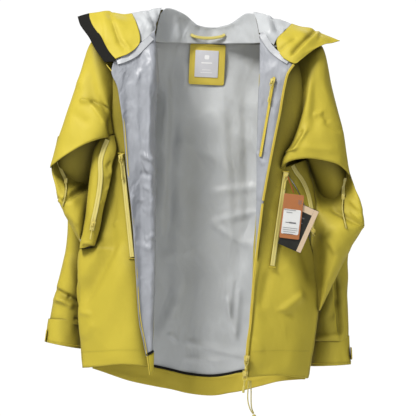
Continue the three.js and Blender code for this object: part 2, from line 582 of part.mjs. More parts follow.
// ---- separating front zip: one half along each turned-out edge ----
function edgeChain(name, points, steps) {
  const section = flatSection(TAPE * 1.6, EDGE_CHAIN_WIDTH);
  return add(name, cordAlong(points, section, steps), cloth(ZIP_YELLOW));
}
edgeChain('right_zip_chain', [
  [-202, -90, -74], [-197, -90, -96], [-183, -88, -193], [-169, -87, -286], [-160, -86, -400],
  [-153, -85, -500], [-146, -84, -600], [-124, -77, -714],
], 18);
edgeChain('left_zip_chain_upper', [
  [180, -90, -84], [166, -88, -106], [152, -87, -168], [137, -84, -229],
  [119, -82, -291], [115.5, -80, -350],
], 12);
const frontLine = {
  top: new THREE.Vector3(112, -84, -362), bottom: new THREE.Vector3(76.4, -84, -722), slope: 0,
};
const frontLength = frontLine.top.distanceTo(frontLine.bottom);
add('left_zip_chain_lower', new THREE.BoxGeometry(EDGE_CHAIN_WIDTH, TAPE * 1.6, frontLength),
  cloth(ZIP_YELLOW), frameOf(frontLine));
sliderAndPull('front_upper', frontLine, TAPE * 0.8, 0.886, 18, FRONT_SLIDER_SCALE);
sliderAndPull('front_lower', frontLine, TAPE * 0.8, 0.975, 32, FRONT_SLIDER_SCALE);

// ---- pocket and underarm zips ----
const ZIPS = [
  { name: 'right_pocket', panel: rightFront, top: [-182, -252], bottom: [-159, -468], at: 0.04,
    pull: 46 },
  { name: 'left_pocket', panel: leftFront, top: [163, -290], bottom: [135, -486], at: 0.04, pull: 30 },
  { name: 'chest_pocket', panel: leftFacing, top: [138, -92], bottom: [109, -258], at: 0.06, pull: 44 },
  { name: 'right_pit', panel: rightGusset, top: [-217, -250], bottom: [-243, -416], at: 0.9, pull: 32 },
  { name: 'left_pit', panel: leftSide, top: [192, -292], bottom: [226, -436], at: 0.85, pull: 54 },
];
for (const { name, panel, top, bottom, at, pull } of ZIPS) {
  const line = stripOn(`${name}_zip`, panel, top, bottom, CHAIN_WIDTH, TAPE, cloth(ZIP_YELLOW));
  sliderAndPull(name, line, TAPE / 2, at, pull);
}

// ---- shop tags on the left pocket's slider ----
function card(name, width, height, thickness, corner, tilt, color) {
  const box = new THREE.BoxGeometry(width, thickness, height);
  box.translate(0, 0, -height / 2);
  const place = new THREE.Matrix4().makeRotationY(tilt).setPosition(...corner);
  return add(name, box, new THREE.MeshStandardMaterial({ color, roughness: 0.6, metalness: 0 }), place);
}
card('swing_tag', 42, 93, CARD, [180, -92, -337], 0.12, ORANGE);
card('booklet_tag', 52, 96, 3.2, [208, -87, -362], 0.42, BLACK);
add('tag_string', cordAlong([
  [167, -79, -300], [171, -82, -312], [176, -86, -326], [179, -88.5, -334],
], roundSection(0.6, 6), 6), moulded(RED));

// ---- hem cord: a loop of elastic that drops out of the front hem ----
// Its two strands part and meet again in the moulded end, one in front of the other.
const HEM_STRANDS = {
  hem_cord_front: [
    [85.4, -64, -727], [83.6, -64, -748], [83.4, -65, -768], [87.6, -66.5, -785], [94, -67.5, -796],
  ],
  hem_cord_back: [
    [89, -63, -727], [90.2, -63, -748], [90.2, -63, -768], [91.4, -63.5, -784], [96, -64, -796],
  ],
};
for (const [name, points] of Object.entries(HEM_STRANDS)) {
  add(name, cordAlong(points, roundSection(CORD_RADIUS), 22), moulded(ZIP_YELLOW));
}
add('hem_cord_end', new THREE.CapsuleGeometry(4.4, 8, 3, 8).rotateX(Math.PI / 2), moulded(ZIP_YELLOW),
  new THREE.Matrix4().makeTranslation(96.4, -66, -805.4));

export default jacket;
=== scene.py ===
# %% [markdown]
# # A waterproof mountain jacket, hanging open
# The jacket hangs by the loop at the back of its neck. Both fronts are turned
# outwards, so the pale lining shows, the collar is spread over the shoulders,
# and the sleeves fold at the elbow.
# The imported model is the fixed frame: it says where every zip, slider, tag and
# cord is. The cloth is made again here, finer, in the same place.

# %% Load the frame
import math

import bpy
import numpy as np
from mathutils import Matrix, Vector


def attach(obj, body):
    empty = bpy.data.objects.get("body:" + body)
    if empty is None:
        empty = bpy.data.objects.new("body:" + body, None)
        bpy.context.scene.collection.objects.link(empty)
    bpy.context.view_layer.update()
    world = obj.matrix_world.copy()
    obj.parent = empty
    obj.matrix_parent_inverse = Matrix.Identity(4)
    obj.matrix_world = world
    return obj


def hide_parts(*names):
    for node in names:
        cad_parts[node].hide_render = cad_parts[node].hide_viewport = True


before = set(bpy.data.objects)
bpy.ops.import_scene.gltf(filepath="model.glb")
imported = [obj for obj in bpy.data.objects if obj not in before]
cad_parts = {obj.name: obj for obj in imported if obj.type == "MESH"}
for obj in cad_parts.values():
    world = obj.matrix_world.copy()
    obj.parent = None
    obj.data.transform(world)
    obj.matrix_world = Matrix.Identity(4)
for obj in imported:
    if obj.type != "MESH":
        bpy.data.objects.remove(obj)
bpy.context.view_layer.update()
LOOP_DEPTH = 60  # the cloth is laid out from a plane 60 mm in front of the hang loop


# %% [markdown]
# ## Millimetres to the frame's metres
# Cloth is easiest to lay out in millimetres. One helper turns a list of points
# into the frame and one brings a place back, so that no other line needs to
# know about the 60 mm.

# %% Points in the frame
def to_frame(points):
    p = np.array(points, float)
    p[..., 1] -= LOOP_DEPTH
    return p / 1000


def from_frame(points):
    p = np.array(points, float) * 1000
    p[..., 1] += LOOP_DEPTH
    return p


# %% [markdown]
# ## The camera
# A long lens from seven metres keeps the sides of the jacket nearly parallel.
# A short lens would make the sleeves look wider than the hood behind them.

# %% Camera
PICTURE_WIDTH = 0.874  # metres across the picture, at the jacket
CAMERA_DISTANCE = 7.0
CAMERA_AIM = (0, -0.10, -0.3654)  # the middle of the view, at the depth of the fronts
SENSOR = 36  # mm
camera_data = bpy.data.cameras.new("camera")
camera_data.sensor_width = SENSOR
camera_data.lens = SENSOR * CAMERA_DISTANCE / PICTURE_WIDTH
camera_data.clip_end = 50
camera = bpy.data.objects.new("camera", camera_data)
camera.location = (CAMERA_AIM[0], CAMERA_AIM[1] - CAMERA_DISTANCE, CAMERA_AIM[2])
camera.rotation_euler = (math.radians(90), 0, 0)
bpy.context.scene.collection.objects.link(camera)
bpy.context.scene.camera = camera
print("lens", round(camera_data.lens, 1), "mm")


# %% [markdown]
# ## Soft studio light
# One large lamp high on the left gives the folds their shape. A weak lamp on
# the right keeps the shadow side readable, and a third lamp lights the back
# for views from behind. The white surroundings are seen by
# the camera at full strength, and light the cloth much less, so the hollows
# under the arms stay dark. Three lamps are enough: more would flatten the folds.

# %% Lights, surroundings and floor
def area_lamp(name, place, aim, size, watts, tint=(1, 1, 1)):
    data = bpy.data.lights.new(name, "AREA")
    data.shape, data.size, data.energy, data.color = "SQUARE", size, watts, tint
    lamp = bpy.data.objects.new(name, data)
    lamp.location = place
    lamp.rotation_euler = (Vector(aim) - Vector(place)).to_track_quat("-Z", "Y").to_euler()
    bpy.context.scene.collection.objects.link(lamp)
    return lamp


area_lamp("key", (-1.6, -2.1, 2.25), (0, 0, -0.35), 1.0, 140, (1.0, 0.985, 0.96))
area_lamp("fill", (1.6, -3.2, 0.7), (0, 0, -0.4), 2.0, 22, (0.95, 0.97, 1.0))
area_lamp("behind", (0.6, 2.6, 1.4), (0, 0, -0.35), 1.6, 34)

world = bpy.data.worlds.new("studio")
world.use_nodes = True
bpy.context.scene.world = world
sky = world.node_tree
for node in list(sky.nodes):
    sky.nodes.remove(node)
seen, lighting = sky.nodes.new("ShaderNodeBackground"), sky.nodes.new("ShaderNodeBackground")
seen.inputs["Color"].default_value = (1, 1, 1, 1)
seen.inputs["Strength"].default_value = 1.05
lighting.inputs["Color"].default_value = (0.96, 0.98, 1, 1)
lighting.inputs["Strength"].default_value = 0.2
ray, mixed = sky.nodes.new("ShaderNodeLightPath"), sky.nodes.new("ShaderNodeMixShader")
surroundings = sky.nodes.new("ShaderNodeOutputWorld")
sky.links.new(ray.outputs["Is Camera Ray"], mixed.inputs["Fac"])
sky.links.new(lighting.outputs[0], mixed.inputs[1])
sky.links.new(seen.outputs[0], mixed.inputs[2])
sky.links.new(mixed.outputs[0], surroundings.inputs[0])
bpy.context.scene.view_settings.view_transform = "Standard"
bpy.context.scene.view_settings.look = "None"

FLOOR_Z = -1.5
FLOOR_REACH = 9
floor_mesh = bpy.data.meshes.new("studio_floor")
corners = [(x * FLOOR_REACH, y * FLOOR_REACH, FLOOR_Z)
           for x, y in ((-1, -1), (1, -1), (1, 1), (-1, 1))]
floor_mesh.from_pydata(corners, [], [(0, 1, 2, 3)])
studio_floor = bpy.data.objects.new("studio_floor", floor_mesh)
bpy.context.scene.collection.objects.link(studio_floor)


# %% [markdown]
# ## Shared shader effects
# Cloth from one mill shares its weave, its small creases and its slow changes
# of tone. Each effect is a node group with named inputs, built once. Painting
# each material by hand would repeat the same nodes a dozen times.

# %% A node-group maker
def effect(name, inputs, outputs, build):
    group = bpy.data.node_groups.new(name, "ShaderNodeTree")
    for label, kind, value in inputs:
        socket = group.interface.new_socket(name=label, in_out="INPUT", socket_type=kind)
        socket.default_value = value
    for label, kind in outputs:
        group.interface.new_socket(name=label, in_out="OUTPUT", socket_type=kind)
    source, sink = group.nodes.new("NodeGroupInput"), group.nodes.new("NodeGroupOutput")
    build(group, source, sink)
    return group


def maths(tree, operation, first, second=None):
    node = tree.nodes.new("ShaderNodeMath")
    node.operation = operation
    for place, value in enumerate((first, second)):
        if value is None:
            continue
        if isinstance(value, (int, float)):
            node.inputs[place].default_value = value
        else:
            tree.links.new(value, node.inputs[place])
    return node.outputs[0]


def colour_mix(tree, amount, first, second):
    node = tree.nodes.new("ShaderNodeMix")
    node.data_type = "RGBA"
    for socket, value in ((node.inputs["Factor"], amount), (node.inputs[6], first),
                          (node.inputs[7], second)):
        if isinstance(value, (int, float, tuple)):
            socket.default_value = value
        else:
            tree.links.new(value, socket)
    return node.outputs[2]


# %% [markdown]
# ### Woven threads
# A plain weave is two sets of ribs that cross. Two wave textures, one across
# the cloth and one down it, give a height with the right thread spacing
# wherever the cloth turns. An image would stretch on the folded panels.

# %% Weave effect
def build_weave(group, source, sink):
    place = group.nodes.new("ShaderNodeTexCoord")
    ribs = []
    for direction in ("X", "Z"):
        wave = group.nodes.new("ShaderNodeTexWave")
        wave.wave_type, wave.bands_direction, wave.wave_profile = "BANDS", direction, "SIN"
        wave.inputs["Distortion"].default_value = 0.6
        wave.inputs["Detail"].default_value = 1
        group.links.new(place.outputs["Object"], wave.inputs["Vector"])
        group.links.new(source.outputs["Threads per metre"], wave.inputs["Scale"])
        ribs.append(wave.outputs["Fac"])
    group.links.new(maths(group, "MULTIPLY", ribs[0], ribs[1]), sink.inputs["Height"])


weave = effect("woven_threads", [("Threads per metre", "NodeSocketFloat", 300.0)],
               [("Height", "NodeSocketFloat")], build_weave)


# %% [markdown]
# ### Small creases of a stiff laminate
# A three-layer shell is closer to paper than to wool: it dents into short, flat
# facets. Stretched noise that is warped by a second noise gives short creases,
# and its strength is set for each material.

# %% Crease effect
WARPS_PER_METRE = 9
WARP_REACH = 0.09  # metres that the warp pushes the creases
CREASE_STRETCH = (1.0, 0.7, 0.45)
LINE_SHARPNESS = 14.0


def build_crease(group, source, sink):
    place = group.nodes.new("ShaderNodeTexCoord")
    warp = group.nodes.new("ShaderNodeTexNoise")
    warp.inputs["Scale"].default_value = WARPS_PER_METRE
    warp.inputs["Detail"].default_value = 1
    group.links.new(place.outputs["Object"], warp.inputs["Vector"])
    push = group.nodes.new("ShaderNodeVectorMath")
    push.operation = "MULTIPLY_ADD"
    push.inputs[1].default_value = (WARP_REACH,) * 3
    group.links.new(warp.outputs["Color"], push.inputs[0])
    group.links.new(place.outputs["Object"], push.inputs[2])
    stretch = group.nodes.new("ShaderNodeMapping")
    stretch.inputs["Scale"].default_value = CREASE_STRETCH
    group.links.new(push.outputs[0], stretch.inputs["Vector"])
    facets = group.nodes.new("ShaderNodeTexNoise")
    facets.inputs["Detail"].default_value = 3
    facets.inputs["Roughness"].default_value = 0.45
    group.links.new(stretch.outputs[0], facets.inputs["Vector"])
    group.links.new(source.outputs["Creases per metre"], facets.inputs["Scale"])
    group.links.new(facets.outputs["Fac"], sink.inputs["Height"])
    # The Lines output marks the crease lines, where some finishes paint highlights into the colour.
    lines = maths(group, "ABSOLUTE", maths(group, "SUBTRACT", facets.outputs["Fac"], 0.5))
    sharp = maths(group, "SUBTRACT", 1.0, maths(group, "MULTIPLY", lines, LINE_SHARPNESS))
    group.links.new(maths(group, "MAXIMUM", sharp, 0.0), sink.inputs["Lines"])


creases = effect("laminate_creases", [("Creases per metre", "NodeSocketFloat", 24.0)],
                 [("Height", "NodeSocketFloat"), ("Lines", "NodeSocketFloat")], build_crease)


# %% [markdown]
# ### Slow changes of tone
# Dye, handling and light wear change a cloth's colour a little from place to
# place. A broad noise moves the brightness a little around its mean.

# %% Tone effect
def build_tone(group, source, sink):
    place = group.nodes.new("ShaderNodeTexCoord")
    broad = group.nodes.new("ShaderNodeTexNoise")
    broad.inputs["Detail"].default_value = 3
    group.links.new(place.outputs["Object"], broad.inputs["Vector"])
    group.links.new(source.outputs["Patches per metre"], broad.inputs["Scale"])
    shift = maths(group, "MULTIPLY", maths(group, "SUBTRACT", broad.outputs["Fac"], 0.5),
                  source.outputs["Amount"])
    bright = group.nodes.new("ShaderNodeHueSaturation")
    group.links.new(maths(group, "ADD", 1.0, shift), bright.inputs["Value"])
    group.links.new(source.outputs["Color"], bright.inputs["Color"])
    group.links.new(bright.outputs["Color"], sink.inputs["Color"])
    group.links.new(broad.outputs["Fac"], sink.inputs["Mask"])


tone = effect("cloth_tone",
              [("Color", "NodeSocketColor", (1, 1, 1, 1)), ("Amount", "NodeSocketFloat", 0.2),
               ("Patches per metre", "NodeSocketFloat", 14.0)],
              [("Color", "NodeSocketColor"), ("Mask", "NodeSocketFloat")], build_tone)


# %% [markdown]
# ### One recipe for every finish
# Every finish here is the same chain with its own numbers: tone, weave and
# painted highlights on the crease lines into the colour, weave and creases into
# the bump, and the tone's noise into the roughness. The cloths that form hollows
# get painted shade: their colour is darkened where other cloth stands near,
# because the lamps alone leave the hollows too pale. Constants such as
# sheen are set straight on the shader, because an export drops them when they
# arrive through a node.

# %% Finish maker
THREAD_SHADE = 0.10  # how far the weave goes towards its darker tone
# Shares of a finish's own colour: the weave's darker tone, a lighter one for the painted highlight
# on crease lines, and a near-black one for the painted shade in hollows.
DARKER, HIGHLIGHT_TINT, PAINTED_SHADE_TINT = 0.6, 1.35, 0.1  # shares of a finish's own colour
# Painted shade: within this reach, nearby cloth darkens the colour through an occlusion node.
PAINTED_SHADE_REACH = 0.11  # metres in which other cloth makes a place darker
PAINTED_SHADE_SAMPLES = 6
PAINTED_SHADE_LIMIT = 0.93
ROUGHNESS_SPREAD = 0.25


def tint(colour, share):
    return tuple(min(1, c * share) for c in colour) + (1,)


def use(tree, group, **values):
    node = tree.nodes.new("ShaderNodeGroup")
    node.node_tree = group
    for label, value in values.items():
        node.inputs[label.replace("_", " ")].default_value = value
    return node


# Two of the numbers paint light into the colour: one paints shade into hollows, one paints
# highlights on crease lines.
def finish(name, colour, roughness, *, threads=300.0, thread_bump=0.00006, crease_bump=0.0,
           crease_scale=24.0, tone_amount=0.16, patches=14.0, sheen=0.0, specular=0.5,
           coat=0.0, crease_highlight_paint=0.0, hollow_painted_shade=0.0):
    made = bpy.data.materials.new(name)
    made.use_nodes = True
    tree = made.node_tree
    shader = tree.nodes["Principled BSDF"]
    shader.inputs["Sheen Weight"].default_value = sheen
    shader.inputs["Sheen Roughness"].default_value = 0.4
    shader.inputs["Specular IOR Level"].default_value = specular
    shader.inputs["Coat Weight"].default_value = coat
    shader.inputs["Coat Roughness"].default_value = 0.35
    tones = use(tree, tone, Color=(*colour, 1), Amount=tone_amount, Patches_per_metre=patches)
    threads_node = use(tree, weave, Threads_per_metre=threads)
    crease_node = use(tree, creases, Creases_per_metre=crease_scale)
    shade = maths(tree, "MULTIPLY", threads_node.outputs["Height"], THREAD_SHADE)
    painted = colour_mix(tree, shade, tones.outputs["Color"], tint(colour, DARKER))
    # Painted highlight: the crease lines are mixed towards a lighter copy of the colour, as if each
    # crinkle caught the light.
    if crease_highlight_paint:
        painted_crease_highlight = maths(tree, "MULTIPLY", crease_node.outputs["Lines"], crease_highlight_paint)
        painted = colour_mix(tree, painted_crease_highlight, painted, tint(colour, HIGHLIGHT_TINT))
    # Painted shade: where other cloth stands near, the colour is mixed towards a near-black share of
    # itself.
    if hollow_painted_shade:
        shade_occlusion = tree.nodes.new("ShaderNodeAmbientOcclusion")
        shade_occlusion.samples = PAINTED_SHADE_SAMPLES
        shade_occlusion.inputs["Distance"].default_value = PAINTED_SHADE_REACH
        painted_shade_share = maths(tree, "MULTIPLY", maths(tree, "SUBTRACT", 1.0, shade_occlusion.outputs["AO"]), hollow_painted_shade)
        painted_shade_share = maths(tree, "MINIMUM", painted_shade_share, PAINTED_SHADE_LIMIT)
        painted = colour_mix(tree, painted_shade_share, painted, tint(colour, PAINTED_SHADE_TINT))
    tree.links.new(painted, shader.inputs["Base Color"])
    uneven = maths(tree, "MULTIPLY", maths(tree, "SUBTRACT", tones.outputs["Mask"], 0.5),
                   ROUGHNESS_SPREAD)
    tree.links.new(maths(tree, "ADD", roughness, uneven), shader.inputs["Roughness"])
    height = maths(tree, "MULTIPLY", threads_node.outputs["Height"], thread_bump)
    if crease_bump:
        height = maths(tree, "ADD", height,
                       maths(tree, "MULTIPLY", crease_node.outputs["Height"], crease_bump))
    bump = tree.nodes.new("ShaderNodeBump")
    bump.inputs["Strength"].default_value = 1.0
    bump.inputs["Distance"].default_value = 1.0
    tree.links.new(height, bump.inputs["Height"])
    tree.links.new(bump.outputs["Normal"], shader.inputs["Normal"])
    return made


# %% [markdown]
# ## The finishes of this jacket
# The face cloth is matt citron with a faint sheen. The lining is a smooth grey
# film with a satin gloss, so it shows every small crease. The water-resistant
# zips have a rubbery skin that is paler and shinier than the cloth.

# %% Materials
CITRON = (0.60, 0.485, 0.046)
# The citron takes the strongest painted shade in its hollows.
face_cloth = finish("face_cloth", CITRON, 0.6, threads=420, crease_bump=0.006,
                    crease_scale=13, tone_amount=0.12, sheen=0.06, specular=0.35, hollow_painted_shade=1.25)
face_trim = finish("face_trim", (0.56, 0.44, 0.045), 0.64, threads=420, crease_bump=0.001,
                   crease_scale=30, sheen=0.1, specular=0.3)
# The lining film gets painted highlights on its crease lines and painted shade in its hollows.
lining_film = finish("lining_film", (0.55, 0.57, 0.585), 0.42, threads=380, crease_bump=0.011,
                     crease_scale=15, tone_amount=0.2, specular=0.6, crease_highlight_paint=0.16,
                     hollow_painted_shade=0.5)
# The facings are the same lining film in a darker, bluer copy of its colour: painted shade, because
# the turned-out facings stand in shade.
shaded_lapel_film = finish("shaded_lapel_film", (0.37, 0.385, 0.42), 0.36, threads=380, crease_bump=0.012,
                    crease_scale=26, tone_amount=0.24, specular=0.5, crease_highlight_paint=0.18,
                    hollow_painted_shade=0.7)
seam_tape = finish("seam_tape", (0.47, 0.485, 0.505), 0.34, threads=500, crease_bump=0.0010,
                   crease_scale=60, specular=0.6)
black_tape = finish("black_tape", (0.010, 0.0095, 0.008), 0.8, threads=260,
                    thread_bump=0.00025, sheen=0.06, tone_amount=0.3, specular=0.2)
zip_skin = finish("zip_skin", (0.74, 0.64, 0.20), 0.32, threads=900, thread_bump=0.00002,
                  specular=0.6, coat=0.25)
zip_thread = finish("zip_thread", (0.70, 0.55, 0.07), 0.5, threads=900)
slider_paint = finish("slider_paint", (0.70, 0.58, 0.14), 0.3, threads=50, thread_bump=0.0,
                      tone_amount=0.1, patches=200, specular=0.6, coat=0.5)
pull_rubber = finish("pull_rubber", (0.66, 0.56, 0.13), 0.45, threads=800, thread_bump=0.00008)
cord_yarn = finish("cord_yarn", (0.74, 0.63, 0.17), 0.7, threads=700, thread_bump=0.0004,
                   sheen=0.3)
patch_cloth = finish("patch_cloth", (0.68, 0.53, 0.07), 0.6, threads=420)
label_satin = finish("label_satin", (0.66, 0.66, 0.70), 0.4, threads=600, thread_bump=0.0001,
                     sheen=0.2)
label_mark = finish("label_mark", (0.92, 0.92, 0.93), 0.45, threads=600)
tag_card = finish("tag_card", (0.42, 0.15, 0.045), 0.7, threads=120, thread_bump=0.00003,
                  tone_amount=0.25, patches=60)
sticker_paper = finish("sticker_paper", (0.74, 0.74, 0.72), 0.55, threads=100, thread_bump=0.0)
print_grey = finish("print_grey", (0.16, 0.16, 0.17), 0.6, threads=100, thread_bump=0.0)
booklet_cover = finish("booklet_cover", (0.017, 0.017, 0.014), 0.35, threads=100,
                       thread_bump=0.0, tone_amount=0.5, patches=60)
booklet_cream = finish("booklet_cream", (0.66, 0.50, 0.34), 0.6, threads=100, thread_bump=0.0)
red_thread = finish("red_thread", (0.50, 0.02, 0.02), 0.6, threads=900)
stitch_thread = finish("stitch_thread", (0.50, 0.39, 0.035), 0.6, threads=900)
floor_paint = finish("floor_paint", (0.86, 0.86, 0.85), 0.7, threads=3, thread_bump=0.0,
                     tone_amount=0.03, patches=1.0)
studio_floor.data.materials.append(floor_paint)
print("finishes", len(bpy.data.materials))


# %% [markdown]
# ## The loose cords
# A loop of elastic drops out of the hem, so two strands part and meet again in
# one moulded end. Each strand is a curve with a round bevel: a curve keeps its
# true length and thickness, which a mesh tube could lose.

# %% Cord helper
def cord_curve(name, points, radius, material, detail=6):
    data = bpy.data.curves.new(name, "CURVE")
    data.dimensions, data.bevel_depth, data.bevel_resolution = "3D", radius, detail
    data.use_fill_caps = True
    spline = data.splines.new("POLY")
    spline.points.add(len(points) - 1)
    for point, place in zip(spline.points, points):
        point.co = (*place, 1)
    spline.use_smooth = True
    data.materials.append(material)
    made = bpy.data.objects.new(name, data)
    bpy.context.scene.collection.objects.link(made)
    return made


def length_of(points):
    return float(np.linalg.norm(np.diff(points, axis=0), axis=1).sum())


# %% [markdown]
# ### Smooth lines and nets
# A Catmull-Rom line passes through every given point, so a seam stays
# where it was placed. Bezier or subdivision surfaces would pull away from
# the points and shrink the jacket.

# %% Catmull-Rom lines and nets
def smooth(points, steps):
    """A finer line through points; steps is the count for each gap. Works on whole rows too."""
    p = np.asarray(points, float)
    ends = np.concatenate([[2 * p[0] - p[1]], p, [2 * p[-1] - p[-2]]])
    made = []
    for gap, count in enumerate(steps):
        a, b, c, d = ends[gap:gap + 4]
        for t in np.arange(count) / count:
            made.append(0.5 * (2 * b + (c - a) * t + (2 * a - 5 * b + 4 * c - d) * t * t
                               + (3 * b - a - 3 * c + d) * t ** 3))
    return np.array(made + [p[-1]])


NET_SPACING = 3.5  # mm between neighbouring points


def fine_net(rows, spacing=NET_SPACING):
    net = np.array(rows, float)
    across = np.linalg.norm(np.diff(net, axis=1), axis=2).max(axis=0)
    wide = smooth(net.transpose(1, 0, 2), [max(2, math.ceil(g / spacing)) for g in across])
    wide = wide.transpose(1, 0, 2)
    down = np.linalg.norm(np.diff(net, axis=0), axis=2).max(axis=1)
    return smooth(wide, [max(2, math.ceil(g / spacing)) for g in down])


HEM_STRANDS = {
    "hem_strand_front": ("hem_cord_front", [(85.4, -64, -727), (83.6, -64, -748), (83.4, -65, -768),
                                            (87.6, -66.5, -785), (94, -67.5, -796)]),
    "hem_strand_back": ("hem_cord_back", [(89, -63, -727), (90.2, -63, -748), (90.2, -63, -768),
                                          (91.4, -63.5, -784), (96, -64, -796)]),
}
hem_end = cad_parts["hem_cord_end"]
hem_end.data.materials.clear()
hem_end.data.materials.append(pull_rubber)
for strand, (node, points) in HEM_STRANDS.items():
    line = smooth(to_frame(points), [6] * 4)
    piece = cord_curve(strand, line, 0.0013, cord_yarn)
    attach(piece, "root")
    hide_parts(node)
    print(strand, round(length_of(line) * 1000, 1), "mm")

STRING = [(167, -79, -300), (171, -82, -312), (176, -86, -326), (179, -88.5, -334)]
string_line = smooth(to_frame(STRING), [6] * 3)
tag_loop = cord_curve("tag_loop", string_line, 0.0006, red_thread, 3)
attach(tag_loop, "tag_string")
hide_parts("tag_string")
print("tag string", round(length_of(string_line) * 1000, 1), "mm")


# %% [markdown]
# ## Folds
# A fold in stiff cloth is sharp on one side and soft on the other. Each fold is
# a stroke from one place to another, with a rise and two widths, and it pushes
# the cloth along its own normal. Strokes can be read off the real jacket one at
# a time, which a random texture can't do. A faint ripple goes under them.

# %% Fold helpers
def normals_of(net):
    along = np.gradient(net, axis=1)
    fall = np.gradient(net, axis=0)
    n = np.cross(fall, along)
    return n / np.maximum(np.linalg.norm(n, axis=2, keepdims=True), 1e-9)


def stroke(net, start, end, rise, left=14, right=14, taper=0.3):
    """How far each point moves for one fold. start and end are (x, z), left and right widths."""
    a, b = np.array(start, float), np.array(end, float)
    run = b - a
    long = np.linalg.norm(run)
    u = run / long
    offset = net[..., [0, 2]] - a
    along = (offset @ u) / long
    side = offset @ np.array([u[1], -u[0]])
    width = np.where(side < 0, left, right)
    ends = np.clip(np.minimum(along, 1 - along) / taper + 0.5, 0, 1)
    ends = ends * ends * (3 - 2 * ends)
    return rise * ends * np.exp(-((side / width) ** 2))


RIPPLE_WAVES = 14
RIPPLE_STRETCH = 2.2


def ripple(net, seed, amount, size):
    """A smooth random field: cosines in seeded directions, longer down the cloth than across."""
    chance = np.random.default_rng(seed)
    field = np.zeros(net.shape[:2])
    for _ in range(RIPPLE_WAVES):
        turn = chance.normal(0, 0.5)
        k = 2 * math.pi / (size * chance.uniform(0.6, 1.7))
        x, z = net[..., 0] * math.cos(turn) * k, net[..., 2] * math.sin(turn) * k
        field += np.cos(x + z + net[..., 2] * k / RIPPLE_STRETCH * chance.normal(0, 0.4)
                        + net[..., 1] * k * 0.6 + chance.uniform(0, 6.28))
    return amount * field / math.sqrt(RIPPLE_WAVES)


def folded(net, strokes=(), seed=1, amount=0.8, size=70, facing=(0, -1, 0), edge=18):
    """Pushes strokes and a ripple outwards. The ripple dies down within edge mm of the border."""
    n = normals_of(net)
    out = np.sign((n * np.array(facing, float)).sum(2, keepdims=True))
    n = n * np.where(out == 0, 1, out)
    rows, cols = net.shape[:2]
    r = np.minimum(np.arange(rows), np.arange(rows)[::-1])[:, None]
    c = np.minimum(np.arange(cols), np.arange(cols)[::-1])[None, :]
    quiet = np.clip(np.minimum(r, c) * NET_SPACING / edge, 0.15, 1)
    move = ripple(net, seed, amount, size) * quiet
    for s in strokes:
        move = move + stroke(net, *s)
    return net + n * move[..., None]


# %% [markdown]
# ## Cloth with two faces
# Outside the cloth is citron and inside it is grey film. Solidify gives each
# panel its thickness, and takes the second material for the far side, so one
# sheet shows the right colour from both sides. Two separate sheets would fight
# for the same place. The upper sleeves, the gussets and the side panel are
# citron on both sides, as their insides show in the hollows under the arms.

# %% Panel maker
CLOTH_THICK = 0.0012


def panel(name, net, near, far, node=None, facing=(0, -1, 0), closed=False,
          thick=CLOTH_THICK, body="root", rim=0):
    """A sheet from a net in mm. near is the side that looks along facing; (0, 0, 0) keeps order."""
    p = to_frame(net)
    rows, cols = p.shape[:2]
    index = np.arange(rows * cols).reshape(rows, cols)
    if closed:
        index = np.concatenate([index, index[:, :1]], axis=1)
    a, b, c, d = index[:-1, :-1], index[1:, :-1], index[1:, 1:], index[:-1, 1:]
    quads = np.stack([a, b, c, d], axis=-1).reshape(-1, 4)
    n = normals_of(p).reshape(-1, 3)
    if closed:
        middle = p.mean(axis=1, keepdims=True)
        agree = (normals_of(p) * (p - middle)).sum()
    else:
        agree = (n @ np.array(facing, float)).sum()
    if agree < 0:
        quads = quads[:, ::-1]
    mesh = bpy.data.meshes.new(name)
    mesh.from_pydata(p.reshape(-1, 3).tolist(), [], quads.tolist())
    mesh.polygons.foreach_set("use_smooth", [True] * len(mesh.polygons))
    for material in (near, far):
        mesh.materials.append(material)
    made = bpy.data.objects.new(name, mesh)
    bpy.context.scene.collection.objects.link(made)
    skin = made.modifiers.new("cloth thickness", "SOLIDIFY")
    skin.thickness, skin.offset, skin.material_offset = thick, -1, 1
    skin.material_offset_rim = rim
    skin.use_even_offset = False
    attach(made, body)
    if node:
        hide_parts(node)
    return made


# %% [markdown]
# ## Things sewn on the cloth
# Tapes, zips, piping and stitches all follow a line on a panel. One ribbon
# maker pushes a small section along such a line. A curve with a bevel could do
# the same, but it twists where the line turns.

# %% Ribbon, depth and stitch helpers
def on_net(net, places, lift=1.2):
    """Puts (x, z) places on a panel, a little in front of it."""
    flat = net.reshape(-1, 3)
    made = []
    for x, z in places:
        near = np.argmin((flat[:, 0] - x) ** 2 + (flat[:, 2] - z) ** 2 + 0.4 * flat[:, 1])
        made.append((x, flat[near, 1] - lift, z))
    return np.array(made)


def unit(v):
    v = np.asarray(v, float)
    return v / np.maximum(np.linalg.norm(v, axis=-1, keepdims=True), 1e-9)


def flat_section(width, thick, round_off=0.35):
    w, t = width / 2, thick / 2
    r = round_off
    return [(-w, -t), (w, -t), (w, t - r), (w - r, t), (-w + r, t), (-w, t - r)]


def zip_section(width, thick):
    w, t = width / 2, thick / 2
    return [(-w, -t), (w, -t), (w, 0.2 * t), (w - 1.3, t), (0.75, 0.9 * t), (0.35, -0.1 * t),
            (-0.35, -0.1 * t), (-0.75, 0.9 * t), (-w + 1.3, t), (-w, 0.2 * t)]


def new_piece(name, vertices, faces, material, body="root", node=None, slot=None,
              smooth_faces=True):
    mesh = bpy.data.meshes.new(name)
    mesh.from_pydata(np.asarray(vertices).tolist(), [], [tuple(int(i) for i in f) for f in faces])
    mesh.polygons.foreach_set("use_smooth", [smooth_faces] * len(mesh.polygons))
    mesh.materials.append(material)
    mesh.validate()
    made = bpy.data.objects.new(name, mesh)
    bpy.context.scene.collection.objects.link(made)
    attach(made, body)
    if node:
        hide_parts(*([node] if isinstance(node, str) else node))
    return made


